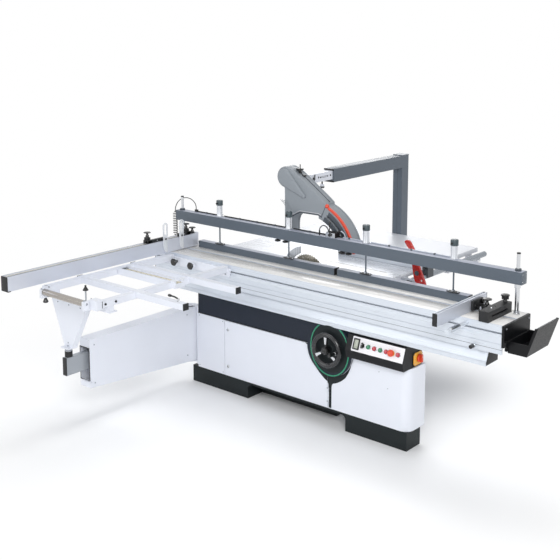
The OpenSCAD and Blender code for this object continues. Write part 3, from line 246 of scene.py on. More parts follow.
# shape helpers
def arc(cx, cy, r, a0, a1, n=16):
    return [(cx + r * math.cos(math.radians(a0 + (a1 - a0) * i / n)),
             cy + r * math.sin(math.radians(a0 + (a1 - a0) * i / n))) for i in range(n + 1)]


def circle(cx, cy, r, n):
    return arc(cx, cy, r, 0, 360, n)[:-1]


def rounded(x0, x1, y0, y1, r, n=5):
    return (arc(x1 - r, y1 - r, r, 0, 90, n) + arc(x0 + r, y1 - r, r, 90, 180, n)
            + arc(x0 + r, y0 + r, r, 180, 270, n) + arc(x1 - r, y0 + r, r, 270, 360, n))


def soften(pts, rounds=2):
    for _ in range(rounds):
        out = []
        for i, p in enumerate(pts):
            q = pts[(i + 1) % len(pts)]
            out += [(0.8 * p[0] + 0.2 * q[0], 0.8 * p[1] + 0.2 * q[1]),
                    (0.2 * p[0] + 0.8 * q[0], 0.2 * p[1] + 0.8 * q[1])]
        pts = out
    return pts


def oval(cx, cz, a, b, t0, t1, n):
    ts = [math.radians(t0 + (t1 - t0) * i / n) for i in range(n + 1)]
    return [(cx + a * math.cos(t), cz + b * math.sin(t)) for t in ts]


# from a shape's own axes, drawn in its first two and rising along the third, to the axis named
TURN = {
    "x": Matrix(((0, 0, 1, 0), (1, 0, 0, 0), (0, 1, 0, 0), (0, 0, 0, 1))),
    "y": Matrix(((1, 0, 0, 0), (0, 0, 1, 0), (0, 1, 0, 0), (0, 0, 0, 1))),
    "z": Matrix.Identity(4),
}
for key in "xyz":
    TURN["-" + key] = TURN[key] @ Matrix.Diagonal((1, 1, -1, 1))


class Piece:
    """One separate piece of the visual model, put together from bevelled and turned shapes."""

    def __init__(self, name, body, *mats, slot=None, replaces=()):
        self.name, self.body, self.mats, self.slot, self.gone = name, body, mats, slot, replaces
        self.bm = bmesh.new()

    def take(self, t, m, place=None, bevel=0.0, tf=None):
        """Adds the mesh t: bevelled, in material m, set in place and then moved by tf."""
        if bevel:
            sharp = [e for e in t.edges if len(e.link_faces) == 2 and e.calc_face_angle(0) > 0.5]
            bmesh.ops.bevel(t, geom=sharp, offset=bevel, segments=2, profile=0.5,
                            affect="EDGES", clamp_overlap=True)
        for f in t.faces:
            f.material_index = m
        move = place if tf is None else tf if place is None else tf @ place
        if move is not None:
            bmesh.ops.transform(t, matrix=move, verts=t.verts)
        me = bpy.data.meshes.new("part")
        t.to_mesh(me)
        t.free()
        self.bm.from_mesh(me)
        bpy.data.meshes.remove(me)
        return self

    def box(self, x0, x1, y0, y1, z0, z1, m=0, b=1.0, tf=None):
        t = bmesh.new()
        bmesh.ops.create_cube(t, size=1)
        place = Matrix.Translation(((x0 + x1) / 2, (y0 + y1) / 2, (z0 + z1) / 2))
        bmesh.ops.transform(t, matrix=place @ Matrix.Diagonal((x1 - x0, y1 - y0, z1 - z0, 1)), verts=t.verts)
        return self.take(t, m, bevel=b, tf=tf)

    def lathe(self, profile, axis, at, m=0, seg=32, lobes=0, amp=0.0, tf=None):
        """profile: (radius, height) pairs from one end to the other; lobes wave the outer part."""
        t = bmesh.new()
        top = max(r for r, _ in profile)
        rings = []
        for r, h in profile:
            if r < 1e-6:
                rings.append([t.verts.new((0, 0, h))])
                continue
            ring = []
            for i in range(seg):
                a = 2 * math.pi * i / seg
                k = 1 + (amp * math.cos(lobes * a) if lobes and r > 0.7 * top else 0)
                ring.append(t.verts.new((r * k * math.cos(a), r * k * math.sin(a), h)))
            rings.append(ring)
        for lo, hi in zip(rings, rings[1:]):
            if len(lo) == 1 and len(hi) == 1:
                continue
            for i in range(seg):
                j = (i + 1) % seg
                if len(lo) == 1:
                    t.faces.new((lo[0], hi[i], hi[j]))
                elif len(hi) == 1:
                    t.faces.new((lo[i], lo[j], hi[0]))
                else:
                    t.faces.new((lo[i], lo[j], hi[j], hi[i]))
        for ring in (rings[0], rings[-1]):
            if len(ring) > 1 and profile[0] != profile[-1]:
                t.faces.new(ring)
        return self.take(t, m, Matrix.Translation(at) @ TURN[axis], tf=tf)

    def prism(self, pts, axis, a, b, m=0, bevel=0.0):
        t = bmesh.new()
        base = [t.verts.new((x, y, a)) for x, y in pts]
        top = [t.verts.new((x, y, b)) for x, y in pts]
        t.faces.new(base)
        t.faces.new(top)
        for i in range(len(pts)):
            j = (i + 1) % len(pts)
            t.faces.new((base[i], base[j], top[j], top[i]))
        return self.take(t, m, TURN[axis], bevel)

    def flat(self, outer, holes, axis, a, b, bevel=1.0, m=0, tf=None, res=2):
        """A plate with holes, its rim rounded by bevel, from a to b along axis."""
        def signed(loop):
            return sum(p[0] * q[1] - q[0] * p[1] for p, q in zip(loop, loop[1:] + loop[:1]))
        cu = bpy.data.curves.new("plate", "CURVE")
        cu.dimensions, cu.fill_mode = "2D", "BOTH"
        cu.extrude, cu.bevel_depth, cu.bevel_resolution = (b - a) / 2 - bevel, bevel, res
        cu.offset = -bevel
        for k, loop in enumerate([outer] + list(holes)):
            if (signed(loop) > 0) != (k == 0):
                loop = loop[::-1]
            sp = cu.splines.new("POLY")
            sp.points.add(len(loop) - 1)
            for p, (x, y) in zip(sp.points, loop):
                p.co = (x, y, 0, 1)
            sp.use_cyclic_u = True
        ob = new_object("plate", cu)
        me = bpy.data.meshes.new_from_object(ob.evaluated_get(bpy.context.evaluated_depsgraph_get()))
        bpy.data.objects.remove(ob)
        bpy.data.curves.remove(cu)
        t = bmesh.new()
        t.from_mesh(me)
        bpy.data.meshes.remove(me)
        bmesh.ops.remove_doubles(t, verts=t.verts, dist=0.001)
        return self.take(t, m, TURN[axis] @ Matrix.Translation((0, 0, (a + b) / 2)), tf=tf)

    def tube(self, pts, r, m=0, seg=8):
        """A round bar of radius r along a line of points."""
        t = bmesh.new()
        pts = [Vector(p) for p in pts]
        side, last = None, None
        for i, p in enumerate(pts):
            d = (pts[min(i + 1, len(pts) - 1)] - pts[max(i - 1, 0)]).normalized()
            if side is None:
                side = d.orthogonal().normalized()
            side = (side - d * side.dot(d)).normalized()
            up = d.cross(side)
            ring = [t.verts.new(p + r * (math.cos(2 * math.pi * k / seg) * side
                                         + math.sin(2 * math.pi * k / seg) * up)) for k in range(seg)]
            if last:
                for k in range(seg):
                    n = (k + 1) % seg
                    t.faces.new((last[k], last[n], ring[n], ring[k]))
            else:
                t.faces.new(ring)
            last = ring
        t.faces.new(last)
        return self.take(t, m)

    def screw(self, at, axis, r=4.5, h=3.5, m=0):
        """A socket-head screw: rounded head with a recess."""
        prof = [(r, -0.5), (r, h * 0.6), (r * 0.8, h), (r * 0.5, h), (r * 0.45, h * 0.35), (0, h * 0.3)]
        return self.lathe(prof, axis, at, m, 12)

    def knob(self, at, axis, r, h, m=0, n=5):
        """A lobed knob on a short neck, with a domed top."""
        self.lathe([(0, 0), (r * 0.45, 0), (r * 0.42, h * 0.35), (r * 0.6, h * 0.45), (0, h * 0.45)],
                   axis, at, m, 24)
        return self.lathe([(0, h * 0.42), (r * 0.7, h * 0.42), (r * 0.97, h * 0.52), (r, h * 0.62),
                           (r, h * 0.85), (r * 0.9, h * 0.95), (r * 0.6, h), (0, h * 1.02)],
                          axis, at, m, n * 8, n, 0.09)

    def mushroom(self, at, axis, r, h, m=0):
        """A wide flat cap on a slim stem that widens to its foot."""
        return self.lathe([(0, 0), (r * 0.5, 0), (r * 0.46, h * 0.2), (r * 0.3, h * 0.4), (r * 0.3, h * 0.62),
                           (r * 0.6, h * 0.72), (r * 0.98, h * 0.78), (r, h * 0.84), (r * 0.86, h * 0.95),
                           (r * 0.4, h), (0, h * 1.01)], axis, at, m, 32, 8, 0.04)

    def done(self, smooth=0.6):
        """Turns millimetres into metres and hands the finished object to the frame."""
        bmesh.ops.recalc_face_normals(self.bm, faces=self.bm.faces)
        bmesh.ops.scale(self.bm, vec=(0.001,) * 3, verts=self.bm.verts)
        me = bpy.data.meshes.new(self.name)
        self.bm.to_mesh(me)
        self.bm.free()
        for p in me.polygons:
            p.use_smooth = True
        me.set_sharp_from_angle(angle=smooth)
        for key in self.mats:
            me.materials.append(M[key])
        ob = new_object(self.name, me)
        if self.body:
            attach(ob, self.body)
        if self.gone:
            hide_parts(*self.gone)
        return ob


# coiled air hose: the route is the one in the part's source
HOSE_Y, CURL_X, CURL_N = -59.0, -1200.0, 14
HOSE_END = (-983.0, HOSE_Y, TT + 263.3)


def hose_route():
    z0, z1, n = TT + 42, TT + 224, 16
    pts = [(CURL_X, HOSE_Y, TT + 14.3 + (z0 - TT - 14.3) * i / 6) for i in range(6)]
    for i in range(n * CURL_N + 1):
        t = i / n
        r = 15 * min(1, t, CURL_N - t)
        pts.append((CURL_X + r * math.cos(2 * math.pi * t), HOSE_Y + r * math.sin(2 * math.pi * t),
                    z0 + (z1 - z0) * t / CURL_N))
    w, e = (HOSE_END[0] - CURL_X) / 2, HOSE_END[2] + 14
    for i in range(1, 33):
        u = i / 32
        pts.append((CURL_X + w * (1 - math.cos(math.pi * u)), HOSE_Y,
                    z1 + (e - z1) * u + 85 * math.sin(math.pi * u)))
    return pts + [(HOSE_END[0], HOSE_Y, HOSE_END[2] + 7), HOSE_END]


route = hose_route()
hose = Piece("coiled_hose", None, "rubber", replaces=("curly_hose",),
             slot="hose").tube(route, 3.0, seg=10).done(1.2)
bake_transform(hose)
p = Piece("hose_fittings", "sliding_table", "black", "brass")
p.lathe([(0, 0), (8, 0), (8, 8), (5.5, 11), (4.2, 20), (3.1, 20), (3.1, 3), (0, 3)], "z",
        (CURL_X, HOSE_Y, TT + 14), 0, 20)
p.lathe([(0, 0), (7.5, 0), (7.5, 7), (0, 7)], "z", (CURL_X, HOSE_Y, TT + 7), 1, 6)
p.done()


# panel frame: a point in the sloped control panel's own axes, u along it and n out of it
SLOPE = math.atan2(32, 91)
PANEL = Matrix.Translation((0, -344, 596.5)) @ Matrix.Rotation(math.pi / 2 - SLOPE, 4, "X")


def panel_at(x):
    return Matrix.Translation((x, 0, 0)) @ PANEL


def on_panel(piece, profile, x, m=0, seg=32):
    piece.lathe(profile, "z", (0, 0, 0), m, seg, tf=panel_at(x))


LABEL_X, DISPLAY_X, SELECTOR_X, STOP_X = 802, 648, 695, 902
BUTTONS = (("green", 1, 737), ("red", 1, 780), ("green", 2, 822), ("red", 2, 863), ("red", 3, 946))


# controls
p = Piece("panel_label", "base", "label")
holes = [circle(x - LABEL_X, 0, 9.4, 24) for x in [b[2] for b in BUTTONS] + [STOP_X]]
holes += [circle(SELECTOR_X - LABEL_X, 0, 13.6, 24), rounded(-175.5, -132.5, -33.5, 33.5, 1)]
p.flat(rounded(-185, 181, -44, 44, 3), holes, "z", 0.1, 1.1, 0.3, tf=panel_at(LABEL_X))
p.done()
p = Piece("display", "base", "black", "screen")
p.flat(rounded(-21.5, 21.5, -33, 33, 3), [rounded(-14.5, 14.5, -26, 26, 1.5)],
       "z", 0.2, 7, 1.2, tf=panel_at(DISPLAY_X))
p.box(-14.8, 14.8, -26.5, 26.5, 3.6, 4.6, 1, 0.3, tf=panel_at(DISPLAY_X))
p.done()
for colour, n, x in BUTTONS:
    node = f"{colour}_button_{n}"
    q = Piece(node + "_cap", f"{colour}_{n}", "lamp_" + colour, "black", replaces=(node,))
    on_panel(q, [(8, 0), (8, 4.8), (12.6, 4.8), (13.2, 5.6), (13.2, 10.5), (12, 12.6), (9.6, 13.4),
             (4, 13.9), (0, 14)], x)
    on_panel(q, [(0, -14), (9.3, -14), (9.3, -10.5), (8, -10), (8, 1), (0, 1)], x, 1, 24)
    q.done()
    q = Piece(node + "_bezel", "base", "chrome")
    on_panel(q, [(13.7, 1.1), (16, 1.1), (16, 2.6), (15, 4.4), (14, 4.8), (13.7, 4.4), (13.7, 1.1)], x)
    q.done()
q = Piece("stop_mushroom", "e_stop", "orange", "black", replaces=("emergency_stop",))
on_panel(q, [(0, 13.6), (18.6, 13.6), (20.4, 15.4), (20.4, 22), (18.4, 26.4), (14, 29.4), (7, 30.6),
         (0, 31)], STOP_X, 0, 40)
on_panel(q, [(0, -14), (9.3, -14), (9.3, -10.5), (8, -10), (8, 14), (0, 14)], STOP_X, 1, 24)
q.done()
q = Piece("stop_collar", "base", "yellow")
on_panel(q, [(8.6, 1.1), (17.5, 1.1), (17.5, 2.4), (16.5, 3.2), (8.6, 3.2), (8.6, 1.1)], STOP_X, 0, 40)
q.done()
q = Piece("selector_bezel", "base", "chrome")
on_panel(q, [(13.4, 1.1), (16.4, 1.1), (16.4, 3), (14.6, 4.8), (13.4, 4.8), (13.4, 1.1)], SELECTOR_X)
q.done()
q = Piece("selector_knob", "selector", "knob", "label", replaces=("selector_switch",))
on_panel(q, [(0, -10), (6, -10), (6, 0.4), (12.2, 0.4), (13, 1.2), (13, 5.2), (12, 6.3), (0, 6.3)],
         SELECTOR_X)
q.flat(rounded(-5.4, 5.4, -17, 17, 3.5), [], "z", 5.5, 19, 1.4, tf=panel_at(SELECTOR_X))
q.box(-0.7, 0.7, 3, 12, 18.6, 19.2, 1, 0.2, tf=panel_at(SELECTOR_X))
q.done()
# main switch: yellow plate with clipped corners, red handle
q = Piece("switch_plate", "base", "yellow", "steel")
plate = [(-249, 524), (-235, 510), (-169, 510), (-155, 524), (-155, 574), (-169, 588), (-235, 588),
         (-249, 574)]
q.flat(plate, [circle(-190, 549, 9.5, 28)], "x", 988.05, 988.25, 0.05)
q.flat(plate, [circle(-190, 549, 26, 32)], "x", 988.1, 991, 0.8)
for y, z in ((-240, 521), (-240, 577), (-161, 521), (-161, 577)):
    q.screw((990.6, y, z), "x", 3.2, 1.8, 1)
q.done()
q = Piece("switch_handle", "main_switch", "orange", "label", replaces=("main_switch",))
q.lathe([(0, -8), (8, -8), (8, 3.3), (22.5, 3.3), (24, 4.8), (24, 13), (21.6, 16.2), (0, 17)], "x",
        (985, -190, 549), 0, 40)
q.flat(rounded(-198, -182, 525, 573, 5), [], "x", 1000, 1015, 2.2)
q.box(1014.8, 1015.3, -191, -189, 551, 570, 1, 0.2)
q.done()


# front of the cabinet; the handwheel's centre
WX, WZ = 420, 505
Piece("green_ring", "base", "ring").flat(oval(424, 505, 149, 171, 123.5, 416.5, 72)
      + oval(424, 505, 141, 163, 418.5, 121.5, 72), [], "y", -319.6, -315.4, 1.2).done()
# dark surround that flares out below the band and runs into the groove; its left part rides on the door
Piece("surround", "base", "plinth").flat([(399.6, 284), (404, 278), (407, 268), (408, 248), (430, 248),
      (431, 264), (435, 275), (444, 284), (460, 289), (478, 298), (507, 316), (536, 342), (558, 378),
      (573, 411), (582, 445), (588, 468), (596, 485), (610, 496), (640, 500.4)]
      + arc(WX, WZ, 173, -1.6, -96.8, 40), [], "y", -302.2, -299.9, 0.7).done()
Piece("door_surround", "door", "plinth").flat(arc(WX, WZ, 177, 263, 182, 30)
      + [(222, 498.8), (235, 492), (243, 478), (248, 455), (257, 431), (270, 408), (288, 382), (307, 358),
      (330, 336), (354, 316), (378, 299), (398, 289)], [], "y", -302.2, -299.9, 0.7).done()
Piece("boss_face", "base", "plinth").lathe([(13, 315), (13, 321), (30, 321), (34, 318), (120, 316.9),
      (147, 316.6), (150, 316.2), (150, 315)], "-y", (WX, 0, WZ), 0, 96).done()
p = Piece("band_trim", "base", "plinth")
p.prism([(-296.4, 503), (-298, 504.5), (-298, 508), (-296.4, 509)], "x", -734, 246, 0, 0.3)
p.prism([(-296.4, 643), (-298, 644), (-298, 648), (-296.4, 649)], "x", -734, 350, 0, 0.3)
p.prism([(408.3, 118), (429.7, 118), (429.7, 250), (408.3, 250)], "y", -297.9, -296.9, 0, 0.2)
p.done()
p = Piece("panel_screws", "base", "steel")
for x, z in ((-722, 130), (-722, 488), (-498, 130), (-498, 488), (783, 444), (846, 354)):
    p.screw((x, -300, z), "-y", 3.6, 2.2)
p.done()
p = Piece("door_fittings", "door", "chrome", "black")
for z in (180, 440):
    p.lathe([(0, 0), (13, 0), (13, 1.5), (10.5, 3), (4.2, 3), (3.8, 1.4), (0, 1.4)], "-y", (-452, -300, z),
            0, 28)
    p.box(-454, -450, -302.6, -301, z - 6, z + 6, 1, 0.3)
for z in (158.2, 244.2):
    p.lathe([(0, 0), (5, 0), (5, 3), (3.4, 5), (0, 5)], "z", (401, -305, z), 0, 16)
p.done()

# handwheel: hub cap and bright ends of its three spokes
p = Piece("wheel_dress", "handwheel", "chrome", "knob")
p.lathe([(0, 363), (17, 363), (18.5, 364.5), (18.5, 367), (15, 370), (6, 371.4), (0, 371.6)], "-y",
        (WX, 0, WZ), 1, 36)
for a in (90, 210, 330):
    c, s = math.cos(math.radians(a)), math.sin(math.radians(a))
    corners = ((40, 6), (84, 10), (84, -10), (40, -6))
    p.prism([(WX + c * u - s * v, WZ + s * u + c * v) for u, v in corners], "y", -356, -351.5, 0, 1.6)
p.done()
Piece("wheel_rim", "handwheel", "gloss").lathe([(80, 342), (81, 347), (86, 351), (92, 355.5), (99, 357.5),
      (106, 355.5), (111, 350), (113, 343), (111, 338), (104, 336), (88, 337), (80, 342)], "-y", (WX, 0, WZ),
      0, 72).done()
Piece("crank_collar", "crank", "chrome").lathe([(10.6, 362), (11.6, 363), (11.6, 366), (10.6, 367)], "-y",
      (WX + 79, 0, WZ), 0, 28).done()


# guard: one smooth shell, with the ribs, dark lower band, red strip and the window between its two arcs
HC = (41, TT + 93)  # centre of the lower arcs, in x and z
GX, GZ = -95, 1460  # axis of the guard arm
hood_line = soften(
    [(-182, 1045), (-126, 1045), (-126, 1216), (-50, 1257), (104, 1259)]
    + arc(*HC, 250, 76, 8, 18) + arc(*HC, 357, 8, 70, 20) + [(166, 1344), (-18, 1470), (-128, 1541)]
    + arc(-178, 1480, 70, 62, 262, 26) + [(-183, 1400)], 2)
window = arc(*HC, 301, 16, 64, 20) + arc(*HC, 289, 64, 16, 20)
p = Piece("hood_shell", "hood", "hood", slot="hood_grey", replaces=("hood",))
p.flat(hood_line, [window], "y", -28, 58, 11, res=4)
p.flat(hood_line, [window, circle(GX, GZ, 16.5, 28)], "y", 57, 72, 5, res=2)
p.done(0.9)
p = Piece("hood_rib", "hood", "hood")
rib = arc(-178, 1480, 58, 56, 242, 20) + arc(-14, 1372, 15, 242, 416, 12)
p.flat(rib, [], "y", -44, -12, 14, res=6)
p.done(0.9)
p = Piece("hood_lines", "hood", "hood", "dark_trim_and_shade", "label")
for k in range(4):
    p.tube([(x, -28.6, z) for x, z in arc(-300 + 13 * k, 1190 + 6 * k, 160 - 4 * k, 58 - 2 * k, 2, 14)],
           1.7, 0, 6)
p.tube([(x, -28.2, z) for x, z in [(-118, 1233), (-50, 1269), (104, 1271), (128, 1264)]], 1.3, 2, 6)
p.tube([(x, -27, z) for x, z in [(-120, 1224), (-48, 1260), (106, 1262), (134, 1250)]], 4.6, 1, 8)
p.tube([(133, -28.4, 1258), (150, -28.4, 1296), (164, -28, 1326)], 2.0, 1, 6)
p.done()
# the lower arc in a darker tone, with a lip along the window
p = Piece("visor_band", "hood", "dark_trim_and_shade", "clear")
p.flat(arc(*HC, 333, 8.4, 63, 20) + arc(*HC, 304, 63, 8.4, 20), [], "y", -30.5, -26, 1.4)
p.flat(arc(*HC, 286, 8.4, 66, 20) + arc(*HC, 254, 66, 8.4, 20), [], "y", -30.5, -26, 1.4)
p.flat(arc(*HC, 302, 15.6, 64.4, 20) + arc(*HC, 288, 64.4, 15.6, 20), [], "y", 18, 22, 0.8, 1)
p.done()
p = Piece("red_strip", "hood", "orange")
p.flat(arc(*HC, 361, 8.6, 66, 28) + arc(*HC, 345, 66, 8.6, 28), [], "y", -33, -17, 3)
p.lathe([(0, -14), (9, -11), (13, -5), (14.5, 1), (13, 8), (8, 13), (0, 15)], "-y", (172, -20, 1326), 0, 24)
p.done()
Piece("hood_top_seam", "hood", "dark_trim_and_shade").tube([(-120, 22, 1537), (-18, 22, 1470), (80, 22, 1402),
      (160, 22, 1346)], 4, 0, 6).done()
p = Piece("hood_knob", "hood", "knob")
p.lathe([(0, 0), (16, 0), (16, 5), (9, 9), (9, 16), (0, 16)], "z", (-88, 22, 1512), 0, 24)
p.knob((-88, 22, 1524), "z", 25, 20)
p.lathe([(0, 0), (3.4, 0), (3.4, 26), (2.4, 28), (0, 28)], "z", (-88, 22, 1542), 0, 12)
p.box(-70, -40, 12, 32, 1492, 1504, 0, 3)
p.done()

# arm and post of the guard
p = Piece("arm_clamp", "hood_arm", "knob", "black")
p.flat(rounded(205, 297, 1455, 1465, 4.9), [rounded(215, 287, 1457.6, 1462.4, 2.3)],
       "x", -65.03, -64.97, 0.01, 1)
p.lathe([(0, 0), (9, 0), (9, 3), (6.5, 4), (6.5, 12), (5, 13), (0, 13)], "x", (-65, 134, GZ), 0, 24)
p.flat([(130, 1462), (138, 1462), (143, 1487), (136, 1489)], [], "x", -58, -53, 1.2)
p.flat([(138, 1458), (130, 1458), (125, 1433), (132, 1431)], [], "x", -58, -53, 1.2)
p.lathe([(5.2, 0), (5.2, 27), (9, 30), (16, 44), (17, 49), (13, 53), (0, 54), (0, 50.5), (5.2, 50)],
        "-z", (GX, 268, 1429.9), 0, 24)
p.done()
p = Piece("arm_details", "hood_arm", "black", "chrome")
for y in (190, 322):
    p.lathe([(0, -0.6), (7, -0.6), (7, 0.02), (0, 0.03)], "x", (-65, y, 1462), 0, 20)
p.flat(rounded(-124, -66, 1431, 1489, 3), [circle(GX, GZ, 17, 28)], "y", 88, 92.4, 0.8)
p.lathe([(15.3, 0), (24, 0), (26, 2), (26, 7), (24, 9), (15.3, 9)], "y", (GX, 79, GZ), 1, 36)
p.done()
p = Piece("post_cap", "base", "slate")
p.flat(rounded(-138, -52, 1192, 1283, 4), [], "z", 1500, 1506, 1.6)
p.box(-134.8, -55.2, 346, 1194, 1500, 1500.9, 0, 0.3)
p.done()
p = Piece("post_details", "base", "dark_trim_and_shade", "steel", "black")
p.box(-135.9, -134.6, 1192.6, 1195, 1412, 1498, 0, 0.2)
p.box(-96.5, -93.5, 1194.2, 1195.4, 20, 1408, 0, 0.3)
for z0, z1 in ((1490.6, 1500.8), (1409.4, 1419.6)):
    p.box(-136, -54, 340, 347, z0, z1, 2, 1)
for x, y in ((-160, 1172), (-30, 1172), (-160, 1303), (-30, 1303)):
    p.lathe([(0, 0), (14, 0), (14, 2), (9.5, 2.4), (9.5, 10), (7, 11.5), (0, 11.5)], "z", (x, y, 12), 1, 6)
p.done()

# rear cabinet: louvred panel, bolted side, clamp ring of the outlet
p = Piece("rear_panel", "base", "white", "dark_trim_and_shade", "steel")
p.flat(rounded(-480, 250, 130, 760, 12), [circle(-300, 300, 72, 40)], "y", 620.2, 623.5)
for z in range(545, 725, 20):
    p.prism([(623, z), (631, z + 2), (631, z + 4), (623, z + 13)], "x", -60, 190, 0, 0.6)
    # dark strip under each louvre: painted shadow of the louvre over its opening
    p.box(-56, 186, 623, 623.8, z - 5, z, 1, 0.1)
for x in (-462, 232):
    for z in (148, 445, 742):
        p.screw((x, 623.5, z), "y", 5, 3, 2)
p.done()
p = Piece("side_panels", "base", "white", "dark_trim_and_shade", "steel")
for axis, x0, x1 in (("x", 360.2, 363), ("-x", 560.2, 563)):
    p.flat(rounded(-90, 580, 120, 820, 14), [], axis, x0, x1, 1.0)
for axis, face in (("x", 363), ("-x", -563)):
    for y in (-74, 245, 564):
        for z in (136, 804):
            p.screw((face, y, z), axis, 5, 3, 2)
# dark strips for the vent slots: painted shade of the openings
for z in range(200, 376, 22):
    for x0, x1 in ((362.8, 363.9), (-563.9, -562.8)):
        p.box(x0, x1, 330, 520, z, z + 6, 1, 0.3)
p.done()
p = Piece("outlet_ring", "base", "steel", "black")
p.lathe([(60.1, 0), (62, 0), (62, 12), (60.1, 12)], "y", (-300, 660, 300), 0, 48)
p.lathe([(56.5, 79), (60, 79), (62, 80.5), (60, 82.4), (57, 82.4), (56.5, 79)], "y", (-300, 620, 300), 1, 48)
p.box(-308, -292, 661, 671, 361, 374, 0, 1.5)
p.done()

# table tops
p = Piece("blade_insert", "base", "black", "steel")
p.flat(rounded(-213, 298, 4.2, 13.6, 2), [], "z", 893.5, 899.6, 0.6)
for x in (-200, -60, 100, 285):
    p.lathe([(0, 0), (3.4, 0), (3.4, 0.6), (1.4, 0.6), (1.2, 0.2), (0, 0.2)], "z", (x, 9, 899.4), 1, 14)
p.done()
p = Piece("table_scale", "base", "tape", "tick")
p.flat(rounded(-29, 492, 184.6, 195.4, 1), [], "z", 897, 899.2, 0.3)
for k in range(104):
    w = 8.5 if k % 10 == 0 else (6 if k % 5 == 0 else 4)
    x = -26 + 5 * k
    p.box(x - 0.4, x + 0.4, 186, 186 + w, 899.15, 899.35, 1, 0)
p.done()
p = Piece("table_edges", "base", "steel", "black")
p.prism([(561.9, 866), (560.2, 868), (560.2, 899), (561.9, 899.7)], "x", -784, 599, 1, 0.2)
for x in (-700, -420, -140, 140, 420, 560):
    p.screw((x, 1190, 884), "y", 5, 3.5)
for y in (620, 760, 900, 1040, 1150):
    p.screw((-785, y, 884), "-x", 5, 3.5)
for y in (60, 500):
    p.screw((600, y, 888), "x", 4.5, 3.2)
p.done()
p = Piece("guide_caps", "base", "black", "steel")
for y, ax in ((250, "-y"), (1230, "y")):
    p.lathe([(0, -6), (14.8, -6), (14.8, 0.2), (19.8, 0.2), (19.8, 2.5), (17, 4), (0, 4.4)], ax,
            (631, y, 850))
for y in (310, 740, 1140):
    p.screw((600, y, 825), "z", 6, 4, 1)
p.done()

# push stick on its hook
p = Piece("push_stick_body", "base", "red", slot="red_plastic", replaces=("push_stick",))
stick = [(628.5, 1126), (643, 1140.5), (669.6, 1139.5), (712.5, 1073), (747.5, 975), (795.5, 875),
         (787, 862.5), (722, 871.5), (707.5, 896), (692.5, 970), (683.5, 1061)]
p.flat(soften(stick, 2), [circle(731, 940, 9.1, 24), circle(760, 895, 7, 20)],
       "y", 180, 198, 4, res=3)
p.done(0.9)
p = Piece("push_stick_hook", "base", "black", "dark_trim_and_shade")
p.lathe([(0, 0), (13, 0), (15, 2), (15, 6), (11, 9), (0, 9.4)], "-y", (731, 179.6, 940), 1, 24)
p.flat(rounded(719, 743, 874, 950, 4), [], "y", 204.1, 207, 0.8)
p.done()


# sliding table: end cover, caps and strips
SX0, SX1, SY0, SY1 = -1135, 1585, -320, -20
p = Piece("table_end_cap", "sliding_table", "black", "steel")
cover = [(SY0, 900), (SY1, 900), (SY1, 892), (-148, 892), (-148, 878), (-180, 878), (-180, 747), (-188, 747),
         (-314, 744), (SY0, 744), (SY0, 791), (SY0 - 7, 799), (SY0 - 7, 829), (SY0, 839)]
p.flat(cover, [], "x", SX0 - 5, SX0, 1.2)
for y, z in ((-300, 885), (-200, 885), (-190, 760), (-308, 760)):
    p.screw((SX0 - 5, y, z), "-x", 4, 2.6, 1)
p.done()
p = Piece("table_trims", "sliding_table", "steel")
p.lathe([(11.2, 326.5), (14, 326.5), (14, 328.6), (12.4, 330), (11.2, 330)], "-y", (1415, 0, 754), 0, 28)
p.done()
p = Piece("table_strips", "sliding_table", "cream", "iron")
p.box(SX0 + 1, SX1 - 1, SY0 + 3, -174, 899.9, 900.3, 0, 0.1)
p.box(SX0 + 1, SX1 - 1, -150, SY1 - 3, 899.9, 900.3, 0, 0.1)
# two dark lines on the near side: painted shade in its grooves
for z in (853, 762):
    p.box(SX0 + 1, SX1 - 1, SY0 - 0.35, SY0, z, z + 2, 1, 0.1)
p.done()
Piece("push_handle_grip", "sliding_table", "chrome").lathe([(12.6, 406), (15, 409)]
      + [(15 + (0.3 if k % 2 else 0), 414 + 4 * k) for k in range(22)] + [(15, 503), (14, 509), (12.6, 511)],
      "-y", (1370, 0, 875), 0, 28).done()
p = Piece("tray_edges", "sliding_table", "dark_trim_and_shade", "steel")
for z in (800, 880):
    for y in (-300, -40):
        p.screw((1599, y, z), "x", 5, 3, 1)
p.tube([(1758, -279, 909), (1758, -150, 909.4), (1758, -21, 909)], 1.6, 0, 6)
p.done()

p = Piece("rail_caps", "base", "black")
for x in (-1018.6, 1490):
    p.flat([(-287, 729), (-184, 729), (-184, 654), (-312, 654), (-312, 670), (-308, 675), (-287, 717)], [],
           "x", x, x + 3.6)
p.done()

# crosscut frame: tube caps, ruler, screws, roller discs; the roller's axis and the support's pivot
RY, RZ = -1460, 878
PX, PY = -810, -1350
p = Piece("frame_caps", "sliding_table", "black", "steel", "ruler", "tick", "iron")
for y in (-680, -1125):
    p.box(-5, 3.4, y - 20.8, y + 20.8, 859, 900, 0, 2.2)
    p.box(-969, -961, y - 20.8, y + 20.8, 859, 900, 0, 2.2)
for x in (-945, -430):
    p.box(x - 20.6, x + 20.6, -1403, -1397, 853.4, 894.6, 0, 2)
p.box(-890, -377, -841, -790, 887.8, 888.7, 2, 0.2)
p.box(-919, -890, -841, -779, 887.9, 889.5, 4, 0.4)
for x in (-409, -451):
    for y in (-1300, -1378):
        p.screw((x, y, 874), "x" if x > -430 else "-x", 7, 6)
for k in range(54):
    w = 40 if k % 5 == 0 else 26
    p.box(-885 + 9.5 * k - 1.5, -885 + 9.5 * k + 1.5, -839, -839 + w, 888.6, 888.85, 3, 0)
for x in (-900, -395):
    p.screw((x, -790, 888), "z", 4, 2.6, 1)
for x in (-1020, -945, -560, -430):
    p.screw((x, -340, 838), "-y", 5.5, 4, 1)
for x in (-889, -485):
    for y in (-1420, -1475):
        p.lathe([(0, 0), (7, 0), (7, 4), (4, 5.4), (4, 9), (0, 9)], "z", (x, y, 896), 1, 6)
p.done()
p = Piece("frame_cones", "sliding_table", "knob", "chrome")
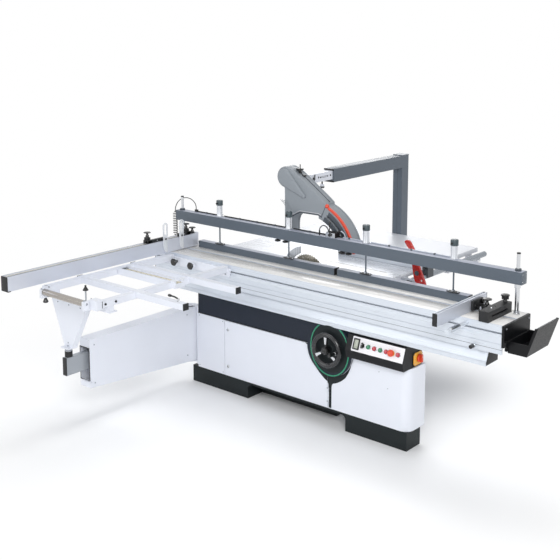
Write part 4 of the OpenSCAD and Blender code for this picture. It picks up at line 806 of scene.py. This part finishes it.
for x in (-893, -730):
    p.lathe([(0, 0), (9, 0), (9, 6), (13, 10), (24.6, 30), (25.5, 36), (22, 41), (0, 42.5)], "-y",
            (x, -341, 850), 0, 28, 6, 0.03)
p.lathe([(0, 0), (10, 0), (10, 5), (6, 7), (6, 20), (0, 20)], "z", (-60, -1125, 899), 1, 20)
p.tube([(-60, -1125, 915), (-84, -1133, 926), (-112, -1140, 930)], 5, 0, 10)
p.lathe([(0, -12), (7, -10), (9, 0), (7, 10), (0, 12)], "x", (-116, -1141, 930), 0, 16)
p.done()
p = Piece("roller_discs", "end_roller", "black", "steel")
for x, ax in ((-878, "-x"), (-496, "x")):
    p.lathe([(8.1, 0), (19, 0), (20.4, 1), (20.4, 3), (18, 4.6), (9, 4.6), (8.1, 3.6)], ax, (x, RY, RZ),
            0, 40)
for x, ax in ((-894, "-x"), (-480, "x")):
    p.lathe([(0, 0), (6, 0), (6, 2), (0, 2.6)], ax, (x, RY, RZ), 1, 20)
p.done()
p = Piece("support_screws", "sliding_table", "steel")
for x in (-945, -430):
    p.lathe([(0, 0), (8, 0), (8, 5), (0, 6)], "-z", (x, -1330, 810), 0, 6)
for x, z in ((-900, 790), (-790, 790), (-680, 790), (-810, 545)):
    p.screw((x, PY, z), "-y", 5, 3)
p.lathe([(0, 0), (9, 0), (9, 7), (5, 9), (0, 9)], "z", (PX, PY, 520), 0, 6)
p.done()
p = Piece("support_knobs", "sliding_table", "knob", "steel")
p.lathe([(0, 0), (5, 0), (5, 86), (0, 86)], "z", (-663, -1320, 816), 1, 16)
p.lathe([(0, 0), (17, 0), (18, 3), (9, 18), (6, 22), (6, 32), (0, 33)], "z", (-663, -1320, 898), 0, 28)
p.lathe([(0, 0), (4, 0), (4, 22), (7, 26), (16, 44), (17, 50), (13, 54), (0, 55)], "-z", (-889, -1448, 862),
        0, 24)
p.done()
p = Piece("arm_hinge_caps", "swing_arm", "black", "steel")
p.lathe([(13, 0), (30, 0), (32, 2), (30, 4.6), (13, 4.6), (13, 0)], "z", (PX, -300, 540), 0, 40)
for s in (-1, 1):
    for y, z in ((-380, 500), (-380, 210), (-1190, 500), (-1190, 250)):
        p.screw((PX + s * 47.5, y, z), "x" if s > 0 else "-x", 5, 3, 1)
p.flat([(-857, 268), (-763, 268), (-763, 485), (-857, 485)], [rounded(-854, -766, 273, 480, 4)],
       "y", -1229.5, -1226)
p.done()
p = Piece("arm_tube_end", "arm_tube", "black", "steel")
p.flat(rounded(-829, -791, 341, 456, 5), [], "y", -1384, -1379.8, 1.2)
p.lathe([(22.1, 0), (24, 0.8), (24, 36), (22.1, 36.8), (22.1, 0)], "z", (PX, PY, 456), 0, 40)
p.lathe([(14.5, 0), (22.5, 0), (24, 1.5), (24, 5), (22.4, 6.4), (14.5, 6.4), (14.5, 0)], "z", (PX, PY, 494),
        1, 40)
p.done()

# crosscut fence: ruler, end cap, pivot disc; the fence's pivot
FX, FY = -1000, -85
p = Piece("fence_tape", "crosscut_fence", "tape", "tick")
p.box(-1001.5, -989, -1656, -112, 994.9, 995.5, 0, 0.1)
for k in range(154):
    w = 9 if k % 10 == 0 else (6 if k % 5 == 0 else 4)
    p.box(-1001, -1001 + w, -1650 + 10 * k - 0.6, -1650 + 10 * k + 0.6, 995.45, 995.7, 1, 0)
p.done()
# dark lines along the fence: painted shade in its grooves
p = Piece("fence_lines", "crosscut_fence", "iron")
for x in (-1027.5, -985.5, -975):
    p.box(x, x + 2.6, -1657, -60, 995, 995.5, 0, 0.1)
p.done()
p = Piece("fence_ends", "crosscut_fence", "black")
p.flat(rounded(-1026, -964, 904, 996, 4), [], "y", -1665, -1659.6, 1.4)
p.lathe([(8.4, 0), (16, 0), (17.5, 1.5), (17.5, 4), (16, 6), (8.4, 6), (8.4, 0)], "z", (FX, FY, 995), 0, 40)
p.box(-1030, -962, -1662, -1640, 902, 907, 0, 1.5)
p.done()
p = Piece("fence_clamp", "sliding_table", "knob", "chrome")
p.lathe([(0, 0), (6, 0), (6, 12), (0, 12)], "z", (FX, FY, 995), 1, 20)
p.mushroom((FX, FY, 1004), "z", 25, 34, 0)
p.done()


def stop_piece(n, yk, yf):
    """Stop block n with its knob at yk and the pivot of its flip stop at yf."""
    q = Piece(f"stop_body_{n}", f"stop_{n}", "black", "knob", "chrome",
              replaces=(f"stop_block_{n}",), slot="black_plastic")
    lo, hi = min(yk - 22, yf - 12), max(yk + 22, yf + 12)
    q.box(-1019, -971, yk - 22, yk + 22, 995.9, 1019, 0, 4)
    q.flat(rounded(-995, -971, lo, hi, 5), [], "z", 997, 1017, 2.5)
    q.box(-986.4, -979.6, yk - 14, yk + 14, 986, 996, 2, 0.5)
    q.box(-990.3, -975.7, yk - 14, yk + 14, 978.5, 986.3, 2, 0.5)
    q.box(-1018, -982, yk - 15, yk + 15, 1017, 1037, 0, 4)
    q.lathe([(0, 0), (13, 0), (10, 8), (6, 12), (0, 12)], "z", (FX, yk, 1036), 1, 24)
    q.mushroom((FX, yk, 1042), "z", 25, 32, 1)
    q.lathe([(4.3, 0), (9, 0), (9, 2.2), (4.3, 2.2), (4.3, 0)], "x", (-971, yf, 1007), 2, 24)
    q.screw((-971, (yk + yf) / 2, 1007), "x", 3.6, 2.4, 2)
    q.done()


stop_piece(1, -516, -386)
stop_piece(2, -147, -231)


def flip_piece(n, y):
    q = Piece(f"flip_tongue_{n}", f"flip_{n}", "clear", "chrome", "black",
              replaces=(f"flip_stop_{n}",), slot="clear_white")
    z = 1007
    tongue = arc(y, z + 92, 22, 0, 180, 20) + [(y - 20.5, z + 20), (y - 19, z - 60), (y - 8, z - 88),
                 (y + 12, z - 100), (y + 20, z - 96), (y + 16, z - 40), (y + 20, z + 20)]
    slit = arc(y, z + 92, 10.5, 0, 180, 14) + arc(y, z + 40, 10.5, 180, 360, 14)
    q.flat(tongue, [slit, circle(y, z, 4.3, 20)], "x", -962.5, -954.5, 2.2)
    q.lathe([(0, -26), (4, -26), (4, 9), (0, 9)], "x", (-962.5, y, z), 1, 18)
    q.lathe([(0, 8), (7, 8), (7, 11), (5.6, 12), (0, 12)], "x", (-962.5, y, z), 2, 24)
    q.lathe([(4.2, -5.6), (9, -5.6), (9, -0.2), (4.2, -0.2), (4.2, -5.6)], "x", (-962.5, y, z), 2, 24)
    q.done()


flip_piece(1, -386)
flip_piece(2, -231)

# mitre fence, with its pivot, and edging shoe
MX, MY = 1390, -133
p = Piece("mitre_details", "mitre_fence", "black", "knob", "alu")
for y0, y1 in ((-568, -564.5), (-24.5, -21)):
    p.flat(rounded(1299.2, 1329, 900.6, 971.8, 3), [], "y", y0, y1)
p.prism([(1314, 0), (1318, 0), (1318, 1), (1314, 1)], "z", 963, 964, 0, 0)
p.box(1310.4, 1317.6, -562, -26, 962.6, 963.4, 0, 0.2)
p.box(1300.4, 1309, -562, -30, 970.9, 971.4, 2, 0.1)
p.box(1330, 1347, -212, -92, 908, 964, 0, 5)
p.lathe([(0, 0), (13, 0), (15, 3), (15, 12), (11, 16), (0, 17)], "x", (1346, -112, 946), 1, 24)
p.screw((1346, -190, 936), "x", 7, 6, 1)
p.lathe([(8.5, 30.4), (34.3, 30.4), (35, 29.6), (35, 9.2), (34.3, 8.5), (34.05, 8.5), (34.05, 30.2),
        (8.5, 30.2), (8.5, 30.4)], "z", (MX, MY, 900), 0, 40)
p.box(1329, 1361, -163.7, -102.3, 909.6, 926.4, 0, 1)
p.done()
p = Piece("mitre_knob", "mitre_base", "knob", "chrome")
p.lathe([(0, 0), (7.4, 0), (7.4, 4), (0, 4)], "z", (MX, MY, 936), 1, 20)
p.mushroom((MX, MY, 938), "z", 27, 36, 0)
p.done()
p = Piece("shoe_knob", "edging_shoe", "knob", "chrome")
p.mushroom((1475, -85, 960), "z", 25, 44, 0)
p.screw((1475, -245, 960), "z", 5, 3.6, 1)
p.done()

# pressure beam: a painted highlight on its top, end covers, collars and clips
BX0, BX1, BY0, BY1 = -1135, 1579, -111, -51
BY, BZ = -81, 1147  # middle and top of the beam
POSTS = (-1100, 1545)
p = Piece("beam_skin", "pressure_beam", "slate_top_highlight", "dark_trim_and_shade", "steel", "slate")
# thin top skin in the lighter slate: painted highlight of the lit top
p.box(BX0 + 2, BX1 - 2, BY0 + 1.4, BY1 - 1.4, 1146.8, 1147.7, 0, 0.3)
for x0, x1 in ((BX0 - 4, BX0 - 0.2), (BX1 + 0.2, BX1 + 4)):
    p.flat(rounded(BY0 - 0.6, BY1 + 0.6, 1076.4, 1147.8, 3), [], "x", x0, x1, 1.2, 3)
for x in (BX0 - 4, BX1 + 4):
    for z in (1090, 1134):
        for y in (-100, -62):
            p.screw((x, y, z), "x" if x > 0 else "-x", 3.4, 2, 2)
for x in POSTS:
    p.lathe([(10.3, 0), (17, 0), (18, 1.2), (18, 12), (16, 14.4), (10.3, 14.4), (10.3, 0)], "z", (x, BY, BZ),
            1, 32)
    p.lathe([(0, 0), (3, 0), (3, 12), (0, 12)], "-y", (x, -97, 1155), 1, 12)
p.done()
p = Piece("post_tops", "sliding_table", "black", "steel")
for x in POSTS:
    p.lathe([(0, 344), (10.6, 344), (11.4, 345), (11.4, 349), (9.6, 351), (0, 351.6)], "z", (x, BY, 900),
            0, 28)
    p.lathe([(13.2, 12), (15.5, 12), (16, 13), (16, 19), (15, 20), (13.2, 20)], "z", (x, BY, 900), 1, 28)
p.done()
CYL = (-728, -99, 522, 1142)  # places of the air cylinders along the beam
p = Piece("cylinder_bodies", "pressure_beam", "alu_z", "cap", "steel", "black", replaces=("air_cylinders",),
          slot="alu")
for x in CYL:
    p.lathe([(5.2, 0), (23, 0), (23.4, 0.6), (23.4, 7), (22, 8.4), (20.2, 8.4), (20, 9), (20, 82), (16.2, 82),
             (16.2, 9.8), (5.2, 9.8), (5.2, 0)], "z", (x, BY, BZ), 0, 40)
    p.lathe([(0, 108), (16.2, 108), (16.2, 82), (22.4, 82), (23.2, 83), (23.2, 114), (21.6, 117), (17, 118),
            (0, 118)], "z", (x, BY, BZ), 1, 40)
    p.lathe([(23.25, 84), (23.9, 84.6), (23.9, 86.6), (23.25, 87.2), (23.25, 84)], "z", (x, BY, BZ), 1, 40)
    p.screw((x, BY, 1265), "z", 6, 1.2, 2)
    p.lathe([(0, 18), (5, 18), (5, 27), (6.2, 28), (6.2, 33), (0, 33)], "-y", (x, BY, 1245), 3, 6)
    p.lathe([(0, 18), (4, 18), (4, 25), (5, 26), (5, 30), (0, 30)], "y", (x, BY, 1156), 3, 6)
p.done()
p = Piece("beam_knobs", "pressure_beam", "knob")
for x in (-194, -128, 337, 391):
    p.knob((x, BY, 1077), "-z", 19, 25, 0, 6)
p.done()
p = Piece("hose_clips", "pressure_beam", "dark_trim_and_shade", "steel")
for x in (-880, -560, -400, -240, 60, 380, 680, 840, 1000):
    p.prism([(-64.5, 1147.2), (-64.5, 1156.6), (-53.5, 1156.6), (-53.5, 1147.2)], "x", x - 6, x + 6, 0, 1.6)
p.flat(rounded(225, 297, 1148, 1178.5, 3), [], "y", -104.2, -102.8, 0.5, 1)
p.done()
for n, (x0, x1), xs in ((1, (-935, 278), CYL[:2]), (2, (302, 1240), CYL[2:])):
    p = Piece(f"press_bar_dress_{n}", f"press_bar_{n}", "slate_top_highlight", "black", "steel")
    # thin top skin in the lighter slate: painted highlight of the lit top
    p.box(x0 + 1, x1 - 1, -82, -33, 944.8, 945.9, 0, 0.4)
    for a, b in ((x0 - 3, x0 + 0.4), (x1 - 0.4, x1 + 3)):
        p.flat(rounded(-83.4, -31.6, 900.6, 945.6, 3), [], "x", a, b, 1, 1)
    for x in xs:
        wing = [(x - 40, -92), (x - 22, -100), (x + 22, -100), (x + 40, -92), (x + 40, -70), (x + 22, -58),
                (x - 22, -58), (x - 40, -70)]
        p.flat(wing, [], "z", 951.6, 956, 1.2, 1)
        for s in (-32, 32):
            p.screw((x + s, BY, 956), "z", 5, 4, 2)
        p.lathe([(9.2, 0), (12, 0), (12, 9), (9.2, 9), (9.2, 0)], "z", (x, BY, 956), 2, 6)
    p.done()

# rip fence and its rail
p = Piece("rip_fence_trims", "rip_beam", "black")
for x0, x1 in ((-44, -39.8), (639.8, 644)):
    p.flat(rounded(389, 430.4, 900.4, 961, 3), [], "x", x0, x1, 1.2)
p.done()
p = Piece("rip_head_trims", "rip_head", "knob", "steel")
p.mushroom((626, 472, 962), "z", 24, 34, 0)
p.lathe([(0, 0), (5, 0), (5, 6), (0, 6)], "z", (590, 465, 962), 1, 16)
p.done()

# drive inside the rear cabinet
p = Piece("motor_details", "lift_unit", "motor", "black", "steel")
p.lathe([(0, 402), (60, 402), (78, 404), (84, 400), (84, 399), (0, 399)], "y", (-160, 0, 670), 1, 48)
p.box(-200, -120, 240, 340, 755, 800, 0, 6)
for x in (-190, -130):
    for y in (250, 330):
        p.screw((x, y, 800), "z", 4, 3, 2)
p.lathe([(0, 0), (10, 0), (10, 10), (6, 14), (0, 14)], "-x", (-200, 300, 776), 1, 6)
p.done()


# light, floor and background
def area_light(name, place, aim, size, power, tint=(1, 1, 1)):
    data = bpy.data.lights.new(name, "AREA")
    data.shape, data.size, data.energy, data.color = "DISK", size, power, tint
    ob = new_object(name, data)
    ob.location = place
    ob.rotation_mode = "QUATERNION"
    ob.rotation_quaternion = (Vector(aim) - Vector(place)).to_track_quat("-Z", "Y")
    return ob


area_light("key", (4.6, -5.0, 4.2), (0, -0.3, 0.7), 3.0, 235)
area_light("fill", (-3.2, -6.5, 3.2), (-0.3, -0.5, 0.6), 4.5, 84, (0.96, 0.98, 1))
area_light("over", (-0.5, 1.2, 6.5), (0, 0, 0.8), 4.0, 92)
area_light("back", (-3.5, 5.5, 3.5), (0, 0.3, 1.0), 3.0, 50)
floor_light = area_light("floor_light", (-0.7, 2.4, 5.6), (0.3, -0.8, 0), 2.6, 120)

world = bpy.data.worlds.new("studio")
world.use_nodes = True
scene.world = world
DIM = (0.42, 0.43, 0.445, 1)  # background as the saw is lit by it; seen directly it is white


def seen_directly(tree):
    """1 for rays from the camera, from a gloss or through glass, else 0."""
    path = add(tree, "LightPath").outputs
    last = path["Is Camera Ray"]
    for kind in ("Is Glossy Ray", "Is Transmission Ray"):
        last = add(tree, "Math", {0: last, 1: path[kind]}, operation="MAXIMUM").outputs["Value"]
    return last


tree = world.node_tree
backdrop = mixed(tree, seen_directly(tree), DIM, WHITE)
tree.links.new(backdrop, tree.nodes["Background"].inputs["Color"])

bm = bmesh.new()
bmesh.ops.create_grid(bm, x_segments=40, y_segments=40, size=14)
floor_mesh = bpy.data.meshes.new("floor")
bm.to_mesh(floor_mesh)
bm.free()
floor = new_object("floor", floor_mesh)
floor.location.z = -0.0006


FADE_START, FADE_END = 1.3, 3.0  # metres from the blade where the floor turns white


def floor_material():
    """White floor that keeps the shadow near the saw and turns into the white background further out."""
    m = make_mat("studio_floor", "#FAFAFA", 0.95, vary=0.005, size=0.6, grain=60, bump=0.0)
    tree = m.node_tree
    at = add(tree, "NewGeometry").outputs["Position"]
    far = add(tree, "VectorMath", {0: at}, operation="LENGTH").outputs["Value"]
    fade = add(tree, "MapRange", {"From Min": FADE_START, "From Max": FADE_END, "Value": far},
               interpolation_type="SMOOTHSTEP").outputs["Result"]
    both = add(tree, "Math", {0: fade, 1: seen_directly(tree)}, operation="MULTIPLY").outputs["Value"]
    glow = add(tree, "Emission", {"Color": WHITE}).outputs["Emission"]
    plain = tree.nodes["Principled BSDF"].outputs["BSDF"]
    blend = add(tree, "MixShader", {"Fac": both, 1: plain, 2: glow}).outputs["Shader"]
    tree.links.new(blend, tree.nodes["Material Output"].inputs["Surface"])
    return m


floor_mesh.materials.append(floor_material())
lit = bpy.data.collections.new("lit_by_floor_light")
lit.objects.link(floor)
floor_light.light_linking.receiver_collection = lit
